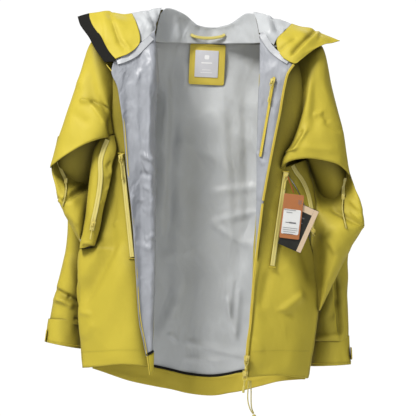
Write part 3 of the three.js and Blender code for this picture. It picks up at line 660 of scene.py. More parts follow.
def ribbon(name, line, section, material, out=(0, -1, 0), **where):
    """A section pushed along a line in millimetres. out is the way it faces."""
    p = np.asarray(line, float)
    tangent = unit(np.gradient(p, axis=0))
    out = np.broadcast_to(np.asarray(out, float), p.shape)
    across = unit(np.cross(tangent, out))
    out = unit(np.cross(across, tangent))
    s = np.array(section)
    rings = p[:, None] + across[:, None] * s[None, :, :1] + out[:, None] * s[None, :, 1:]
    n, k = rings.shape[:2]
    index = np.arange(n * k).reshape(n, k)
    faces = []
    for i in range(n - 1):
        for j in range(k):
            faces.append((index[i, j], index[i, (j + 1) % k], index[i + 1, (j + 1) % k],
                          index[i + 1, j]))
    faces.append(tuple(index[0][::-1]))
    faces.append(tuple(index[-1]))
    return new_piece(name, to_frame(rings.reshape(-1, 3)), faces, material, smooth_faces=False,
                     **where)


THREAD_HALF, THREAD_CROWN = 0.32, 0.38  # mm, half the width and the rise of one stitch


def stitches(name, line, material, pitch=3.0, long=2.1, out=(0, -1, 0), slot="shell_trim"):
    """One row of lockstitch: short crowned threads, end to end along a line."""
    p = smooth(line, [8] * (len(line) - 1))
    run = np.concatenate([[0], np.cumsum(np.linalg.norm(np.diff(p, axis=0), axis=1))])
    starts = np.arange(pitch, run[-1] - pitch, pitch)
    at = np.stack([np.interp(starts, run, p[:, i]) for i in range(3)], axis=1)
    ahead = np.stack([np.interp(starts + long, run, p[:, i]) for i in range(3)], axis=1)
    t = unit(ahead - at)
    o = np.broadcast_to(np.array(out, float), t.shape)
    side = unit(np.cross(t, o)) * THREAD_HALF
    crown = unit(o) * THREAD_CROWN
    middle = (at + ahead) / 2
    v = np.stack([at, middle + side, ahead, middle - side, middle + crown, middle - crown], axis=1)
    faces = []
    for i in range(len(starts)):
        a, b, c, d, e, f = range(6 * i, 6 * i + 6)
        faces += [(a, b, e), (b, c, e), (c, d, e), (d, a, e),
                  (b, a, f), (c, b, f), (d, c, f), (a, d, f)]
    return new_piece(name, to_frame(v.reshape(-1, 3)), faces, material, slot=slot)


# %% [markdown]
# ## The back panel
# The back hangs from the neck seam to a dropped hem, and bows away behind. Its
# lining side is what shows between the fronts. Long folds fall from the
# shoulder blades, with short ones above the hem, as in cloth that was packed.

# %% Back panel
BACK = [
    [[-205, 12, -16], [-150, 42, -14], [-80, 64, -12], [0, 72, -12], [80, 64, -14], [150, 42, -20],
     [205, 12, -30]],
    [[-211, 32, -70], [-150, 62, -66], [-80, 80, -62], [0, 86, -62], [80, 80, -62], [150, 62, -68],
     [211, 32, -76]],
    [[-212, 42, -150], [-150, 68, -148], [-80, 84, -146], [0, 90, -146], [80, 84, -146],
     [150, 68, -148], [212, 42, -152]],
    [[-226, 42, -300], [-158, 68, -300], [-82, 85, -300], [0, 92, -300], [80, 85, -300],
     [152, 68, -300], [214, 42, -300]],
    [[-240, 38, -410], [-165, 66, -410], [-84, 85, -410], [0, 92, -410], [80, 85, -410],
     [156, 66, -410], [226, 38, -410]],
    [[-256, 32, -500], [-172, 62, -500], [-86, 84, -500], [0, 92, -500], [80, 84, -500],
     [154, 62, -500], [224, 32, -510]],
    [[-256, 32, -600], [-172, 62, -610], [-86, 84, -620], [0, 92, -625], [80, 84, -620],
     [150, 62, -615], [218, 32, -620]],
    [[-248, 32, -703], [-168, 62, -731], [-84, 82, -750], [0, 90, -764], [80, 82, -752],
     [148, 60, -733], [207, 32, -727]],
]
BACK_FOLDS = [
    ((-88, -100), (-98, -420), 5, 9, 22, 0.4), ((-52, -150), (-70, -560), 3, 26, 16, 0.4),
    ((30, -130), (52, -480), 3.4, 12, 26, 0.4), ((78, -110), (88, -420), -4, 20, 12, 0.4),
    ((-20, -250), (-30, -640), -2.5, 30, 20, 0.4), ((40, -560), (58, -640), 3, 8, 6, 0.3),
    ((-84, -634), (-66, -651), 2.5, 7, 5, 0.3), ((-46, -653), (76, -683), 3.2, 10, 6, 0.3),
    ((-48, -687), (30, -695), 2.2, 7, 5, 0.3), ((8, -332), (101, -319), 2.2, 8, 10, 0.3),
    ((8, -399), (84, -446), 2.4, 9, 8, 0.3), ((8, -396), (100, -374), 2.0, 10, 8, 0.3),
    ((-60, -220), (20, -262), 1.8, 14, 10, 0.3), ((-96, -470), (-20, -452), 1.6, 12, 10, 0.3),
    ((52, -520), (46, -600), 2.4, 6, 9, 0.3), ((66, -540), (60, -640), 2.2, 7, 5, 0.3),
    ((-60, -560), (-104, -640), 2.0, 10, 14, 0.3),
]
BACK_FOLD_GAIN = 1.7  # raises all the folds of the back together
back_net = folded(fine_net(BACK, 4.0),
                  [(a, b, rise * BACK_FOLD_GAIN, *rest) for a, b, rise, *rest in BACK_FOLDS],
                  seed=3, amount=1.9, size=80)
back = panel("back", back_net, lining_film, face_cloth, node="back_panel")


# %% [markdown]
# ## The two fronts
# Each front hangs from the shoulder and turns outwards near its zip. The part
# that faces forward is citron. Its outer edge is the side seam, which is folded
# at the hem, and a soft valley runs across it from under the arm.

# %% Front panels
RIGHT_FRONT = [
    [[-205, 2, -18], [-183, -8, -12], [-160, -16, -12], [-138, -26, -18], [-120, -40, -32]],
    [[-209, -34, -76], [-184, -46, -74], [-159, -54, -72], [-133, -57, -70], [-116, -58, -70]],
    [[-209, -44, -140], [-184, -55, -140], [-158, -60, -140], [-131, -62, -140], [-115, -61, -140]],
    [[-203, -40, -210], [-180, -53, -210], [-158, -60, -210], [-131, -62, -210], [-114, -61, -210]],
    [[-213, -26, -300], [-185, -45, -305], [-158, -57, -310], [-131, -62, -315], [-113, -61, -320]],
    [[-242, -11, -436], [-206, -36, -432], [-172, -53, -428], [-138, -62, -424], [-113, -61, -420]],
    [[-271, 0, -462], [-228, -30, -466], [-187, -52, -470], [-145, -62, -472], [-113, -61, -474]],
    [[-271, 4, -590], [-228, -30, -590], [-187, -52, -590], [-145, -62, -590], [-113, -60, -590]],
    [[-264, 6, -703.5], [-226, -28, -699], [-187, -50, -694], [-148, -58, -695], [-117, -56, -700]],
]
RIGHT_WRAP = (3, 40)  # the side seam turns inwards and back, out of sight
RIGHT_FRONT = [[[row[0][0] + RIGHT_WRAP[0], row[0][1] + RIGHT_WRAP[1], row[0][2]]] + row
               for row in RIGHT_FRONT]
RIGHT_FRONT_FOLDS = [
    ((-192, -432), (-262, -566), -9, 12, 24, 0.35), ((-212, -425), (-268, -520), 6, 22, 14, 0.4),
    ((-176, -480), (-232, -640), 5, 20, 34, 0.45), ((-196, -330), (-203, -460), -2.4, 9, 9, 0.4),
    ((-268, -585), (-246, -590), 2.5, 6, 5, 0.3), ((-262, -640), (-238, -610), 2.5, 9, 8, 0.4),
    ((-150, -500), (-170, -690), 2.6, 24, 30, 0.5), ((-191, -392), (-199, -402), 1.8, 4, 4, 0.4),
]
LEFT_FRONT = [
    [[205, 2, -32], [183, -8, -26], [160, -16, -24], [138, -26, -28], [116, -40, -42]],
    [[210, -34, -86], [186, -46, -84], [160, -54, -82], [134, -58, -80], [109, -58, -80]],
    [[208, -44, -150], [184, -56, -150], [158, -60, -150], [131, -62, -150], [106, -61, -150]],
    [[194, -44, -205], [173, -54, -208], [151, -60, -210], [128, -62, -212], [105, -61, -212]],
    [[163, -46, -276], [149, -54, -280], [134, -60, -284], [119, -62, -287], [103, -61, -290]],
    [[196, -28, -345], [174, -46, -345], [151, -57, -345], [127, -62, -345], [102, -61, -345]],
    [[216, -14, -430], [189, -38, -430], [160, -54, -430], [131, -62, -430], [101, -62, -428]],
    [[236, -2, -516], [202, -32, -516], [167, -53, -516], [132, -64, -516], [97, -72, -516]],
    [[228, 2, -620], [194, -30, -620], [159, -51, -620], [124, -65, -620], [90, -75, -620]],
    [[211, 6, -726], [184, -26, -722], [151, -49, -717], [118, -64, -717], [83, -75, -720]],
]
WRAP_BREAK, WRAP_HIGH, WRAP_LOW, WRAP_DEPTH = -380, 14, -4, 42  # the zip edge turns back too
LEFT_FRONT = [row + [[row[-1][0] + (WRAP_HIGH if row[-1][2] > WRAP_BREAK else WRAP_LOW),
                      row[-1][1] + WRAP_DEPTH, row[-1][2]]] for row in LEFT_FRONT]
LEFT_FRONT_FOLDS = [
    ((190, -415), (222, -520), -7, 22, 14, 0.4), ((150, -584), (196, -546), 6, 7, 14, 0.3),
    ((148, -584), (182, -592), -3, 6, 6, 0.3), ((127, -500), (113, -570), -4.5, 9, 12, 0.35),
    ((170, -480), (186, -560), 4, 20, 18, 0.4), ((120, -610), (110, -700), 2.5, 18, 18, 0.4),
    ((180, -640), (170, -710), 2.5, 18, 14, 0.4), ((112, -664), (98, -640), 1.6, 6, 6, 0.4),
]
right_front_net = folded(fine_net(RIGHT_FRONT), RIGHT_FRONT_FOLDS, seed=11, amount=0.9, size=90)
left_front_net = folded(fine_net(LEFT_FRONT), LEFT_FRONT_FOLDS, seed=12, amount=0.9, size=90)
right_front = panel("right_front", right_front_net, face_cloth, lining_film,
                    node="right_front_panel")
left_front = panel("left_front", left_front_net, face_cloth, lining_film, node="left_front_panel")


# %% [markdown]
# ## The turned-out facings
# Where a front turns outwards, its lining side comes forward. The film is
# stiff and it was bent by hand, so it shows sharp little crinkles. They are
# real strokes in the mesh, and a stronger bump adds the finer ones.

# %% Facings
RIGHT_FACING = [
    [[-111, -60, 8], [-120, -66, -2], [-134, -72, -14], [-150, -76, -28], [-172, -83, -44],
     [-197, -88, -60]],
    [[-105, -64, -80], [-113, -80, -80], [-124, -86, -80], [-142, -78, -80], [-168, -82, -82],
     [-201, -89, -84]],
    [[-105, -64, -113], [-114, -82, -113], [-125, -90, -113], [-142, -78, -113], [-163, -81, -113],
     [-189, -89, -113]],
    [[-108, -64, -159], [-115, -82, -159], [-126, -90, -159], [-142, -79, -159], [-160, -81, -159],
     [-181.5, -88, -159]],
    [[-109, -64, -202], [-115, -82, -202], [-125, -90, -202], [-140, -79, -202], [-156, -80, -202],
     [-175.5, -87, -202]],
    [[-109, -64, -300], [-114, -77, -300], [-122, -84, -300], [-136, -76, -300], [-151, -79, -300],
     [-167.5, -86, -300]],
    [[-109, -64, -383], [-113, -73, -383], [-121, -79, -383], [-133, -74, -383], [-145, -78, -383],
     [-158.5, -85, -383]],
    [[-110, -64, -481], [-113, -72, -481], [-120, -77, -481], [-130, -73, -481], [-140, -77, -481],
     [-151.5, -84, -481]],
    [[-113, -64, -588], [-115, -71, -588], [-121, -75, -588], [-129, -73, -588], [-136, -76, -588],
     [-144, -82, -588]],
    [[-115, -64, -650], [-117, -69, -650], [-121, -72, -650], [-125, -72, -650],
     [-129, -74, -650], [-133, -79, -650]],
    [[-114, -63, -668], [-116.5, -67, -669], [-120, -70, -671], [-123, -71, -673],
     [-126, -73, -674], [-129, -76, -676]],
]
RIGHT_FACING_FOLDS = [
    ((-118, -30), (-112, -118), 4, 12, 8, 0.3), ((-150, -60), (-146, -240), 4.5, 12, 9, 0.3),
    ((-130, -90), (-134, -190), -3, 8, 8, 0.3), ((-171, -80), (-164, -300), -2.5, 9, 8, 0.3),
    ((-141, -252), (-114, -268), 4.5, 7, 5, 0.3), ((-138, -262), (-126, -290), 3.5, 5, 5, 0.3),
    ((-120, -256), (-112, -292), 3.5, 4, 5, 0.3), ((-140, -292), (-118, -300), -3, 6, 5, 0.3),
    ((-139, -300), (-137, -650), -3, 5, 7, 0.2), ((-134, -330), (-128, -640), 2.5, 6, 8, 0.2),
    ((-138, -318), (-116, -330), 3, 6, 5, 0.3), ((-116, -330), (-124, -380), 2.5, 6, 5, 0.3),
    ((-158, -340), (-136, -352), 3, 5, 5, 0.3), ((-148, -440), (-120, -452), 2.4, 7, 6, 0.3),
    ((-124, -60), (-160, -110), 2.4, 6, 6, 0.3), ((-112, -420), (-130, -432), 3, 6, 5, 0.3),
    ((-128, -520), (-114, -548), 2, 7, 6, 0.3),
]
LEFT_FACING = [
    [[109, -62, 0], [126, -70, -20], [143, -76, -38], [159, -84, -54], [177, -88, -66]],
    [[108, -66, -90], [122, -75, -90], [137, -81, -90], [151, -85, -90], [165, -88, -92]],
    [[106, -66, -135], [118, -75, -135], [130, -81, -135], [142, -85, -135], [154, -86, -137]],
    [[105, -67, -172], [116, -75, -172], [127, -81, -172], [138, -84, -172], [148.5, -85, -172]],
    [[104, -67, -229], [112, -74, -229], [120, -79, -229], [128, -82, -229], [136, -83, -229]],
    [[102, -67, -291], [108, -72, -291], [114, -76, -291], [120, -79, -291], [125, -80, -291]],
    [[101, -67, -350], [104.5, -70, -350], [108, -73, -350], [112, -75, -350], [116, -76, -350]],
    [[100, -68, -420], [101.5, -70, -420], [103, -72, -420], [104.5, -74, -420], [106, -75, -420]],
    [[98, -70, -470], [99, -71, -470], [99.5, -73, -470], [100, -74, -470], [101, -75, -470]],
]
LEFT_FACING_FOLDS = [
    ((112, -30), (104, -280), 2.5, 6, 8, 0.3), ((122, -100), (112, -260), -1.6, 6, 5, 0.3),
    ((150, -90), (128, -250), 1.5, 5, 6, 0.3), ((104, -250), (116, -275), 2.6, 5, 5, 0.3),
    ((114, -40), (108, -110), -2.2, 5, 5, 0.3),
]
right_facing_net = folded(fine_net(RIGHT_FACING, 3.0), RIGHT_FACING_FOLDS, seed=21, amount=1.0,
                          size=42, edge=12)
left_facing_net = folded(fine_net(LEFT_FACING, 3.0), LEFT_FACING_FOLDS, seed=22, amount=0.6,
                         size=42, edge=12)
# The facings take the darker copy of the lining film: painted shade.
right_facing = panel("right_facing", right_facing_net, shaded_lapel_film, face_cloth,
                     node="right_front_facing")
left_facing = panel("left_facing", left_facing_net, shaded_lapel_film, face_cloth,
                    node="left_front_facing")


# %% [markdown]
# ## Gussets and side panels
# Under each arm a gusset lets the arm lift, and the pit zip lies on it. On the
# wearer's right it bulges in front of the front panel, and it gathers where
# it ends, with a narrow side panel below. On the left the gusset runs down to
# the hem.

# %% Gussets and sides
RIGHT_GUSSET = [
    [[-196, -50, -212], [-206, -56, -214], [-218, -52, -216], [-228, -42, -218], [-224, -16, -218],
     [-222, 10, -218], [-220, 36, -218]],
    [[-191, -54, -243], [-207, -60, -243], [-224, -56, -243], [-240, -44, -243], [-232, -16, -243],
     [-228, 10, -243], [-224, 38, -243]],
    [[-200, -54, -273], [-214, -60, -273], [-230, -59, -273], [-245, -45, -273], [-238, -20, -273],
     [-234, 8, -273], [-226, 38, -273]],
    [[-203, -52, -302], [-217, -58, -302], [-233, -57, -302], [-249, -42, -302], [-240, -20, -302],
     [-236, 8, -302], [-230, 38, -302]],
    [[-212, -50, -340], [-224, -55, -340], [-238, -54, -340], [-253, -40, -340], [-247, -18, -340],
     [-243, 8, -340], [-236, 36, -340]],
    [[-219.5, -45, -369], [-231, -51, -369], [-243, -50, -369], [-256, -38, -369], [-252, -14, -369],
     [-248, 10, -369], [-240, 34, -369]],
    [[-226, -38, -405], [-237, -44, -405], [-249, -43, -405], [-262, -32, -405], [-257, -10, -405],
     [-254, 10, -405], [-246, 32, -405]],
    [[-235, -32, -436], [-245, -37, -436], [-256, -36, -436], [-268, -27, -436], [-263, -8, -436],
     [-260, 10, -436], [-252, 30, -436]],
    [[-240, -24, -447], [-250, -28, -448], [-261, -27, -450], [-271, -20, -451], [-268, -4, -451],
     [-264, 12, -451], [-256, 28, -451]],
]
RIGHT_GUSSET_FOLDS = [
    ((-262, -438), (-238, -441), 3, 3, 3, 0.4), ((-264, -447), (-240, -447), -3, 3, 3, 0.4),
    ((-198, -285), (-212, -300), 2.4, 5, 5, 0.4), ((-203, -268), (-212, -282), -2.4, 4, 4, 0.4),
    ((-240, -300), (-248, -400), 2.5, 8, 6, 0.4), ((-206, -320), (-216, -330), 1.5, 3, 3, 0.4),
    ((-222, -352), (-232, -356), 1.6, 4, 4, 0.4),
]
LEFT_GUSSET = [
    [[159, -50, -281], [172, -44, -276], [188, -36, -270], [205, -22, -264], [212, 8, -264],
     [214, 33, -264]],
    [[172, -46, -300], [184, -40, -298], [198, -30, -296], [212, -18, -292], [218, 8, -290],
     [217, 33, -290]],
    [[186, -42, -320], [197, -34, -319], [208, -24, -318], [220, -12, -316], [223, 8, -315],
     [219, 32, -315]],
    [[201, -32, -350], [209, -26, -350], [218, -18, -350], [227, -8, -350], [228, 8, -350],
     [223, 30, -350]],
    [[213, -20, -390], [220, -16, -390], [227, -9, -390], [234, -2, -390], [233, 10, -390],
     [227, 29, -390]],
    [[221, -10, -430], [227, -6, -430], [233, 0, -430], [239, 6, -430], [237, 14, -430],
     [229, 28, -430]],
    [[235, 2, -516], [237, 5, -516], [239, 9, -516], [239, 13, -516], [237, 18, -516],
     [229, 26, -516]],
    [[228, 6, -620], [229, 9, -620], [229.5, 12, -620], [229.5, 16, -620], [228, 20, -620],
     [223, 26, -620]],
    [[211, 10, -725], [212, 13, -725], [213, 16, -725], [213, 19, -725], [213, 22, -725],
     [210, 26, -725]],
]
SLIDER_ROOM, ROOM_END = 5, -355  # above this height the gusset stands back from the slider
LEFT_GUSSET = [[[x, y + (SLIDER_ROOM if z > ROOM_END else 0), z] for x, y, z in row]
               for row in LEFT_GUSSET]
LEFT_GUSSET_FOLDS = [
    ((164, -286), (204, -352), -1.5, 6, 6, 0.3), ((176, -268), (214, -340), -2, 6, 6, 0.3),
]
RIGHT_SIDE = [
    [[-268, 10, -440], [-270, 15, -440], [-269, 20, -440], [-258, 30, -440]],
    [[-272, 10, -590], [-273, 15, -590], [-271, 20, -590], [-261, 28, -590]],
    [[-265, 11, -704], [-266, 16, -704], [-264, 21, -704], [-252, 28, -704]],
]
right_gusset_net = folded(fine_net(RIGHT_GUSSET, 3.0), RIGHT_GUSSET_FOLDS, seed=31, amount=0.5,
                          size=40, edge=9)
left_gusset_net = folded(fine_net(LEFT_GUSSET, 3.0), LEFT_GUSSET_FOLDS, seed=32, amount=0.5,
                         size=40, edge=9)
right_side_net = fine_net(RIGHT_SIDE)
right_gusset = panel("right_gusset_cloth", right_gusset_net, face_cloth, face_cloth,
                     node="right_gusset")
left_gusset = panel("left_gusset_cloth", left_gusset_net, face_cloth, face_cloth,
                    node="left_side_panel")
right_side = panel("right_side", right_side_net, face_cloth, face_cloth, node="right_side_panel",
                   facing=(-1, 0, 0))


# %% [markdown]
# ## Sleeves
# Each sleeve folds like a Z. The upper part comes down to an arch, the cloth
# goes back under it into a hollow, comes forward again as the elbow, and
# hangs behind as the forearm. Three pieces make this fold easier to shape than
# one tube would: a tube for each arm part, and a flap for the elbow.

# %% Sleeve tubes
def sleeve_net(stations, around=120, spacing=3.2, bow_power=2.0):
    """A station is the outer and the inner point, front and back depth, and the bow upwards."""
    turn = np.arange(around) * 2 * math.pi / around
    fore, aft = np.clip(-np.sin(turn), 0, 1), np.clip(np.sin(turn), 0, 1)
    rings = []
    for outer, inner, front, rear, bow in stations:
        o, i = np.array(outer, float), np.array(inner, float)
        ring = (o + i) / 2 + (o - i) / 2 * np.cos(turn)[:, None]
        ring[:, 1] += rear * aft ** 0.85 - front * fore ** 0.8
        ring[:, 2] += bow * fore ** bow_power
        rings.append(ring)
    rings = np.array(rings)
    gaps = np.linalg.norm(np.diff(rings, axis=0), axis=2).max(axis=1)
    return smooth(rings, [max(2, math.ceil(g / spacing)) for g in gaps])


FRONT_REACH = 12  # mm behind the middle where the strokes on a sleeve's front still act
SEAM_QUIET, SEAM_SLOPE = 0.3, 6  # folds are weak at the seam and full five points away


def sleeve(name, net, strokes, seed, node, amount=1.0, size=80):
    middle = net.mean(axis=1, keepdims=True)
    n = unit(net - middle)
    move = ripple(net, seed, amount, size)
    for s in strokes:
        move = move + stroke(net, *s) * (net[..., 1] < middle[..., 1] + FRONT_REACH)
    around = net.shape[1]
    wrap = np.minimum(np.arange(around), around - np.arange(around))[None, :]
    move = move * np.clip(SEAM_QUIET + wrap / SEAM_SLOPE, 0, 1)
    net = net + n * move[..., None]
    inside = face_cloth if "upper" in name else lining_film
    panel(name, net, face_cloth, inside, node=node, closed=True)


RIGHT_UPPER = [
    ((-184, -2, -14), (-184, -6, -190), 30, 40, 0), ((-206, -6, -8), (-198, -14, -196), 40, 46, 0),
    ((-246, -12, -15), (-197, -30, -201), 44, 48, 0),
    ((-277, -16, -104), (-196, -36, -205), 48, 50, 0),
    ((-302, -20, -180), (-195, -38, -209), 50, 54, 3),
    ((-319, -20, -234), (-197, -40, -211), 50, 56, 7),
    ((-331, -20, -276), (-200, -40, -213), 50, 58, 11),
    ((-330, -20, -279), (-202, -39, -215), 46, 57, 10),
    ((-326, -18, -270), (-208, -36, -207), 42, 54, 12),
    ((-318, -14, -252), (-216, -32, -200), 34, 50, 12),
]
LEFT_UPPER = [
    ((184, -2, -26), (184, -6, -190), 30, 40, 0), ((206, -6, -22), (196, -14, -200), 40, 46, 0),
    ((241, -12, -26), (184, -34, -212), 44, 48, 0), ((262, -16, -112), (174, -42, -232), 47, 50, 0),
    ((280, -20, -187), (164, -46, -250), 47, 54, 5),
    ((289.5, -20, -247), (157, -48, -266), 46, 56, 17),
    ((298, -20, -298), (155, -48, -283), 44, 58, 31),
    ((297, -20, -301), (157, -47, -285), 40, 57, 30),
    ((293, -18, -292), (163, -44, -277), 36, 54, 31),
    ((285, -14, -272), (172, -38, -262), 28, 50, 31),
]
sleeve("right_upper", sleeve_net(RIGHT_UPPER), [
    ((-266, -140), (-246, -139), 7, 3, 7, 0.4), ((-248, -138), (-206, -166), -6, 5, 5, 0.35),
    ((-244, -146), (-214, -190), 4, 6, 5, 0.4), ((-226, -140), (-196, -196), -5, 8, 5, 0.4),
    ((-207, -186), (-199, -212), -6, 4, 5, 0.5), ((-256, -50), (-236, -150), -7, 12, 16, 0.4),
    ((-270, -110), (-250, -60), 4, 14, 12, 0.4), ((-276, -150), (-322, -262), 3.5, 18, 14, 0.4),
    ((-262, -236), (-304, -264), 2.5, 8, 8, 0.4), ((-286, -165), (-252, -190), -2.5, 12, 10, 0.4),
], 41, "right_upper_sleeve", amount=1.8)
sleeve("left_upper", sleeve_net(LEFT_UPPER, bow_power=1.0), [
    ((222, -168), (242, -166), 3.2, 5, 7, 0.4), ((238, -166), (254, -184), -3.2, 7, 5, 0.4),
    ((206, -200), (180, -242), 6, 5, 6, 0.35), ((197, -204), (176, -240), -6, 5, 4, 0.35),
    ((158, -246), (186, -240), 6, 4, 4, 0.5), ((230, -90), (222, -200), -6, 16, 12, 0.4),
    ((210, -60), (204, -180), 4, 10, 14, 0.4), ((262, -200), (280, -280), 3.5, 14, 10, 0.4),
    ((246, -186), (276, -206), -2.5, 6, 6, 0.4), ((200, -238), (262, -246), 3, 10, 8, 0.4),
], 42, "left_upper_sleeve", amount=1.8)


# %% [markdown]
# ### Elbows
# The elbow is a flap that comes forward out of the hollow, and tapers to a
# point over the side seam. Its own net of points holds the hollow, the bulge
# and the point, which no simple tube could follow.

# %% Elbow flaps
RIGHT_ELBOW = [
    [[-300, 36, -215], [-318, 5, -215], [-296, 20, -205], [-270, 24, -200], [-245, 20, -200],
     [-226, 8, -200]],
    [[-314, 36, -262], [-327, -8, -262], [-304, 14, -262], [-276, 22, -262], [-250, 18, -262],
     [-232, 2, -262]],
    [[-316, 34, -290], [-328, -18, -290], [-306, -4, -290], [-280, 12, -290], [-256, 14, -290],
     [-238, 4, -290]],
    [[-312, 34, -318], [-321.5, -26, -318], [-303, -22, -318], [-282, -6, -318], [-260, 4, -318],
     [-242, 2, -318]],
    [[-306, 34, -345], [-316, -26, -345], [-300, -38, -345], [-282, -36, -345], [-264, -24, -345],
     [-246, -8, -345]],
    [[-296, 32, -372], [-304, -22, -372], [-293, -40, -372], [-280, -44, -372], [-266, -38, -372],
     [-250, -18, -372]],
    [[-282, 28, -405], [-288, -16, -405], [-282, -32, -405], [-275, -38, -405], [-267, -34, -405],
     [-256, -16, -405]],
    [[-268, 16, -438], [-270, -8, -438], [-269, -14, -438], [-268, -18, -438], [-267, -16, -438],
     [-264, -10, -438]],
]
RIGHT_ELBOW_FOLDS = [
    ((-300, -350), (-250, -312), -6, 5, 7, 0.3), ((-298, -336), (-252, -300), 3, 7, 6, 0.3),
    ((-318, -352), (-300, -340), 3, 4, 4, 0.4), ((-316, -344), (-302, -352), -3, 3, 3, 0.4),
    ((-300, -372), (-272, -400), 2.5, 8, 8, 0.4), ((-314, -300), (-300, -330), 2, 5, 5, 0.4),
]
LEFT_ELBOW = [
    [[205, 12, -225], [226, 22, -225], [252, 24, -225], [276, 14, -225], [286, -2, -225],
     [280, 34, -225]],
    [[214, 10, -280], [232, 24, -280], [258, 26, -280], [284, 10, -280], [296, -16, -280],
     [290, 34, -280]],
    [[220, 8, -320], [238, 24, -320], [262, 22, -320], [286, 0, -320], [308, -26, -320],
     [302, 32, -320]],
    [[226, 2, -350], [242, 10, -350], [264, 6, -350], [290, -18, -350], [319, -32, -350],
     [311, 30, -350]],
    [[230, -18, -378], [246, -24, -378], [270, -24, -378], [296, -32, -378], [325.5, -36, -378],
     [316, 28, -378]],
    [[233, -30, -403], [250, -46, -403], [274, -52, -403], [300, -48, -403], [327, -34, -403],
     [317, 26, -403]],
    [[235, -32, -430], [250, -50, -430], [272, -56, -430], [294, -48, -430], [311.5, -28, -430],
     [304, 26, -430]],
    [[235, -28, -458], [250, -46, -458], [268, -50, -458], [284, -42, -458], [296.5, -24, -458],
     [290, 24, -458]],
    [[235, -18, -506], [246, -32, -506], [256, -36, -506], [266, -30, -506], [273, -18, -506],
     [268, 20, -506]],
    [[234, -8, -545], [240, -18, -545], [246, -22, -545], [250, -18, -545], [254, -10, -545],
     [250, 16, -545]],
    [[233, 0, -582], [234, -4, -582], [235, -6, -582], [236, -4, -582], [237, 0, -582],
     [236, 10, -582]],
]
LEFT_TUCK = (-20, 30)  # the left flap's inner edge goes on inwards and back
LEFT_ELBOW = [[[row[0][0] + LEFT_TUCK[0], row[0][1] + LEFT_TUCK[1], row[0][2]]] + row
              for row in LEFT_ELBOW]
LEFT_ELBOW_FOLDS = [
    ((262, -368), (326, -404), -5, 5, 6, 0.25), ((300, -350), (322, -372), 2.5, 5, 5, 0.4),
    ((300, -372), (318, -388), 2.5, 4, 4, 0.4), ((240, -420), (272, -460), 3, 9, 9, 0.4),
    ((246, -440), (262, -470), -2.5, 7, 6, 0.4), ((296, -440), (250, -520), 2, 8, 10, 0.4),
]
right_elbow_net = folded(fine_net(RIGHT_ELBOW, 3.0), RIGHT_ELBOW_FOLDS, seed=51, amount=0.8,
                         size=50, edge=9)
left_elbow_net = folded(fine_net(LEFT_ELBOW, 3.0), LEFT_ELBOW_FOLDS, seed=52, amount=0.8,
                        size=50, edge=9)
right_flap = panel("right_elbow_flap", right_elbow_net, face_cloth, lining_film,
                   node="right_elbow")
left_flap = panel("left_elbow_flap", left_elbow_net, face_cloth, lining_film, node="left_elbow")


# %% [markdown]
# ### Forearms and cuffs
# The forearm starts inside the upper sleeve and comes out behind the elbow. The
# cuff is a second tube with its own hem. Its tab is a stiff tongue with rounded
# corners that peels off, so it rides on its own body.

# %% Forearms
RIGHT_FOREARM = [
    ((-322, 0, -248), (-212, 0, -214), 26, 40, 0), ((-320, 22, -300), (-226, 24, -280), 30, 38, 0),
    ((-311, 48, -346), (-238, 50, -336), 32, 38, 0),
    ((-299, 74, -386), (-246, 76, -384), 34, 38, 0),
    ((-305, 86, -454), (-253, 86, -454), 40, 40, 0),
    ((-317, 88, -506), (-257, 88, -506), 42, 42, 0),
    ((-331, 86, -563), (-260, 86, -563), 40, 40, 0),
    ((-341, 84, -614), (-267, 84, -614), 38, 38, 0),
]
LEFT_FOREARM = [
    ((286, 0, -262), (202, 0, -250), 26, 38, 0), ((304, 24, -325), (220, 24, -300), 30, 34, 0),
    ((312, 50, -384), (231, 52, -350), 34, 36, 0), ((303, 78, -430), (237, 78, -410), 36, 38, 0),
    ((299, 88, -470), (239, 88, -470), 40, 40, 0), ((298, 88, -530), (234, 88, -530), 44, 42, 0),
    ((298.5, 86, -590), (228, 86, -590), 42, 40, 0), ((301, 84, -649), (222, 84, -649), 38, 38, 0),
]
sleeve("right_lower", sleeve_net(RIGHT_FOREARM), [
    ((-327, -539), (-296, -554), -7, 5, 7, 0.3), ((-298, -553), (-270, -564), -8, 5, 6, 0.3),
    ((-331, -562), (-300, -562), 3, 5, 5, 0.3), ((-322, -556), (-288, -575), 6, 6, 6, 0.3),
    ((-284, -600), (-266, -601), -4, 4, 4, 0.4), ((-300, -470), (-282, -540), 3, 12, 12, 0.4),
], 61, "right_forearm", amount=1.4, size=70)
sleeve("left_lower", sleeve_net(LEFT_FOREARM), [
    ((271, -515), (281, -640), -7, 5, 4, 0.25), ((286, -520), (290, -640), 4, 8, 6, 0.3),
    ((225, -642), (284, -636), 5, 5, 9, 0.2), ((262, -600), (276, -560), -4, 8, 6, 0.3),
    ((240, -590), (262, -640), 3, 10, 12, 0.4),
], 62, "left_forearm", amount=1.4, size=70)


# %% Cuffs
SEAM_LIFT = 0.35  # mm, how far the hem seam sits above the cuff
HEM_SEAM_ROW = -3


def cuff(name, top, bottom, node):
    net = sleeve_net([top, bottom], spacing=3.0)
    net = net + unit(net - net.mean(axis=1, keepdims=True)) * ripple(net, 71, 0.7, 45)[..., None]
    panel(name, net, face_cloth, lining_film, node=node, closed=True)
    ring = net[HEM_SEAM_ROW]
    out = unit(ring - ring.mean(axis=0))
    out = np.concatenate([out, out[:1]])
    loop = np.concatenate([ring, ring[:1]]) + out * SEAM_LIFT
    ribbon(f"{name}_hem_seam", loop, flat_section(1.2, 0.7, 0.2), face_trim, out=out,
           slot="shell_trim")
    print(name, "hem around", round(length_of(loop)), "mm")


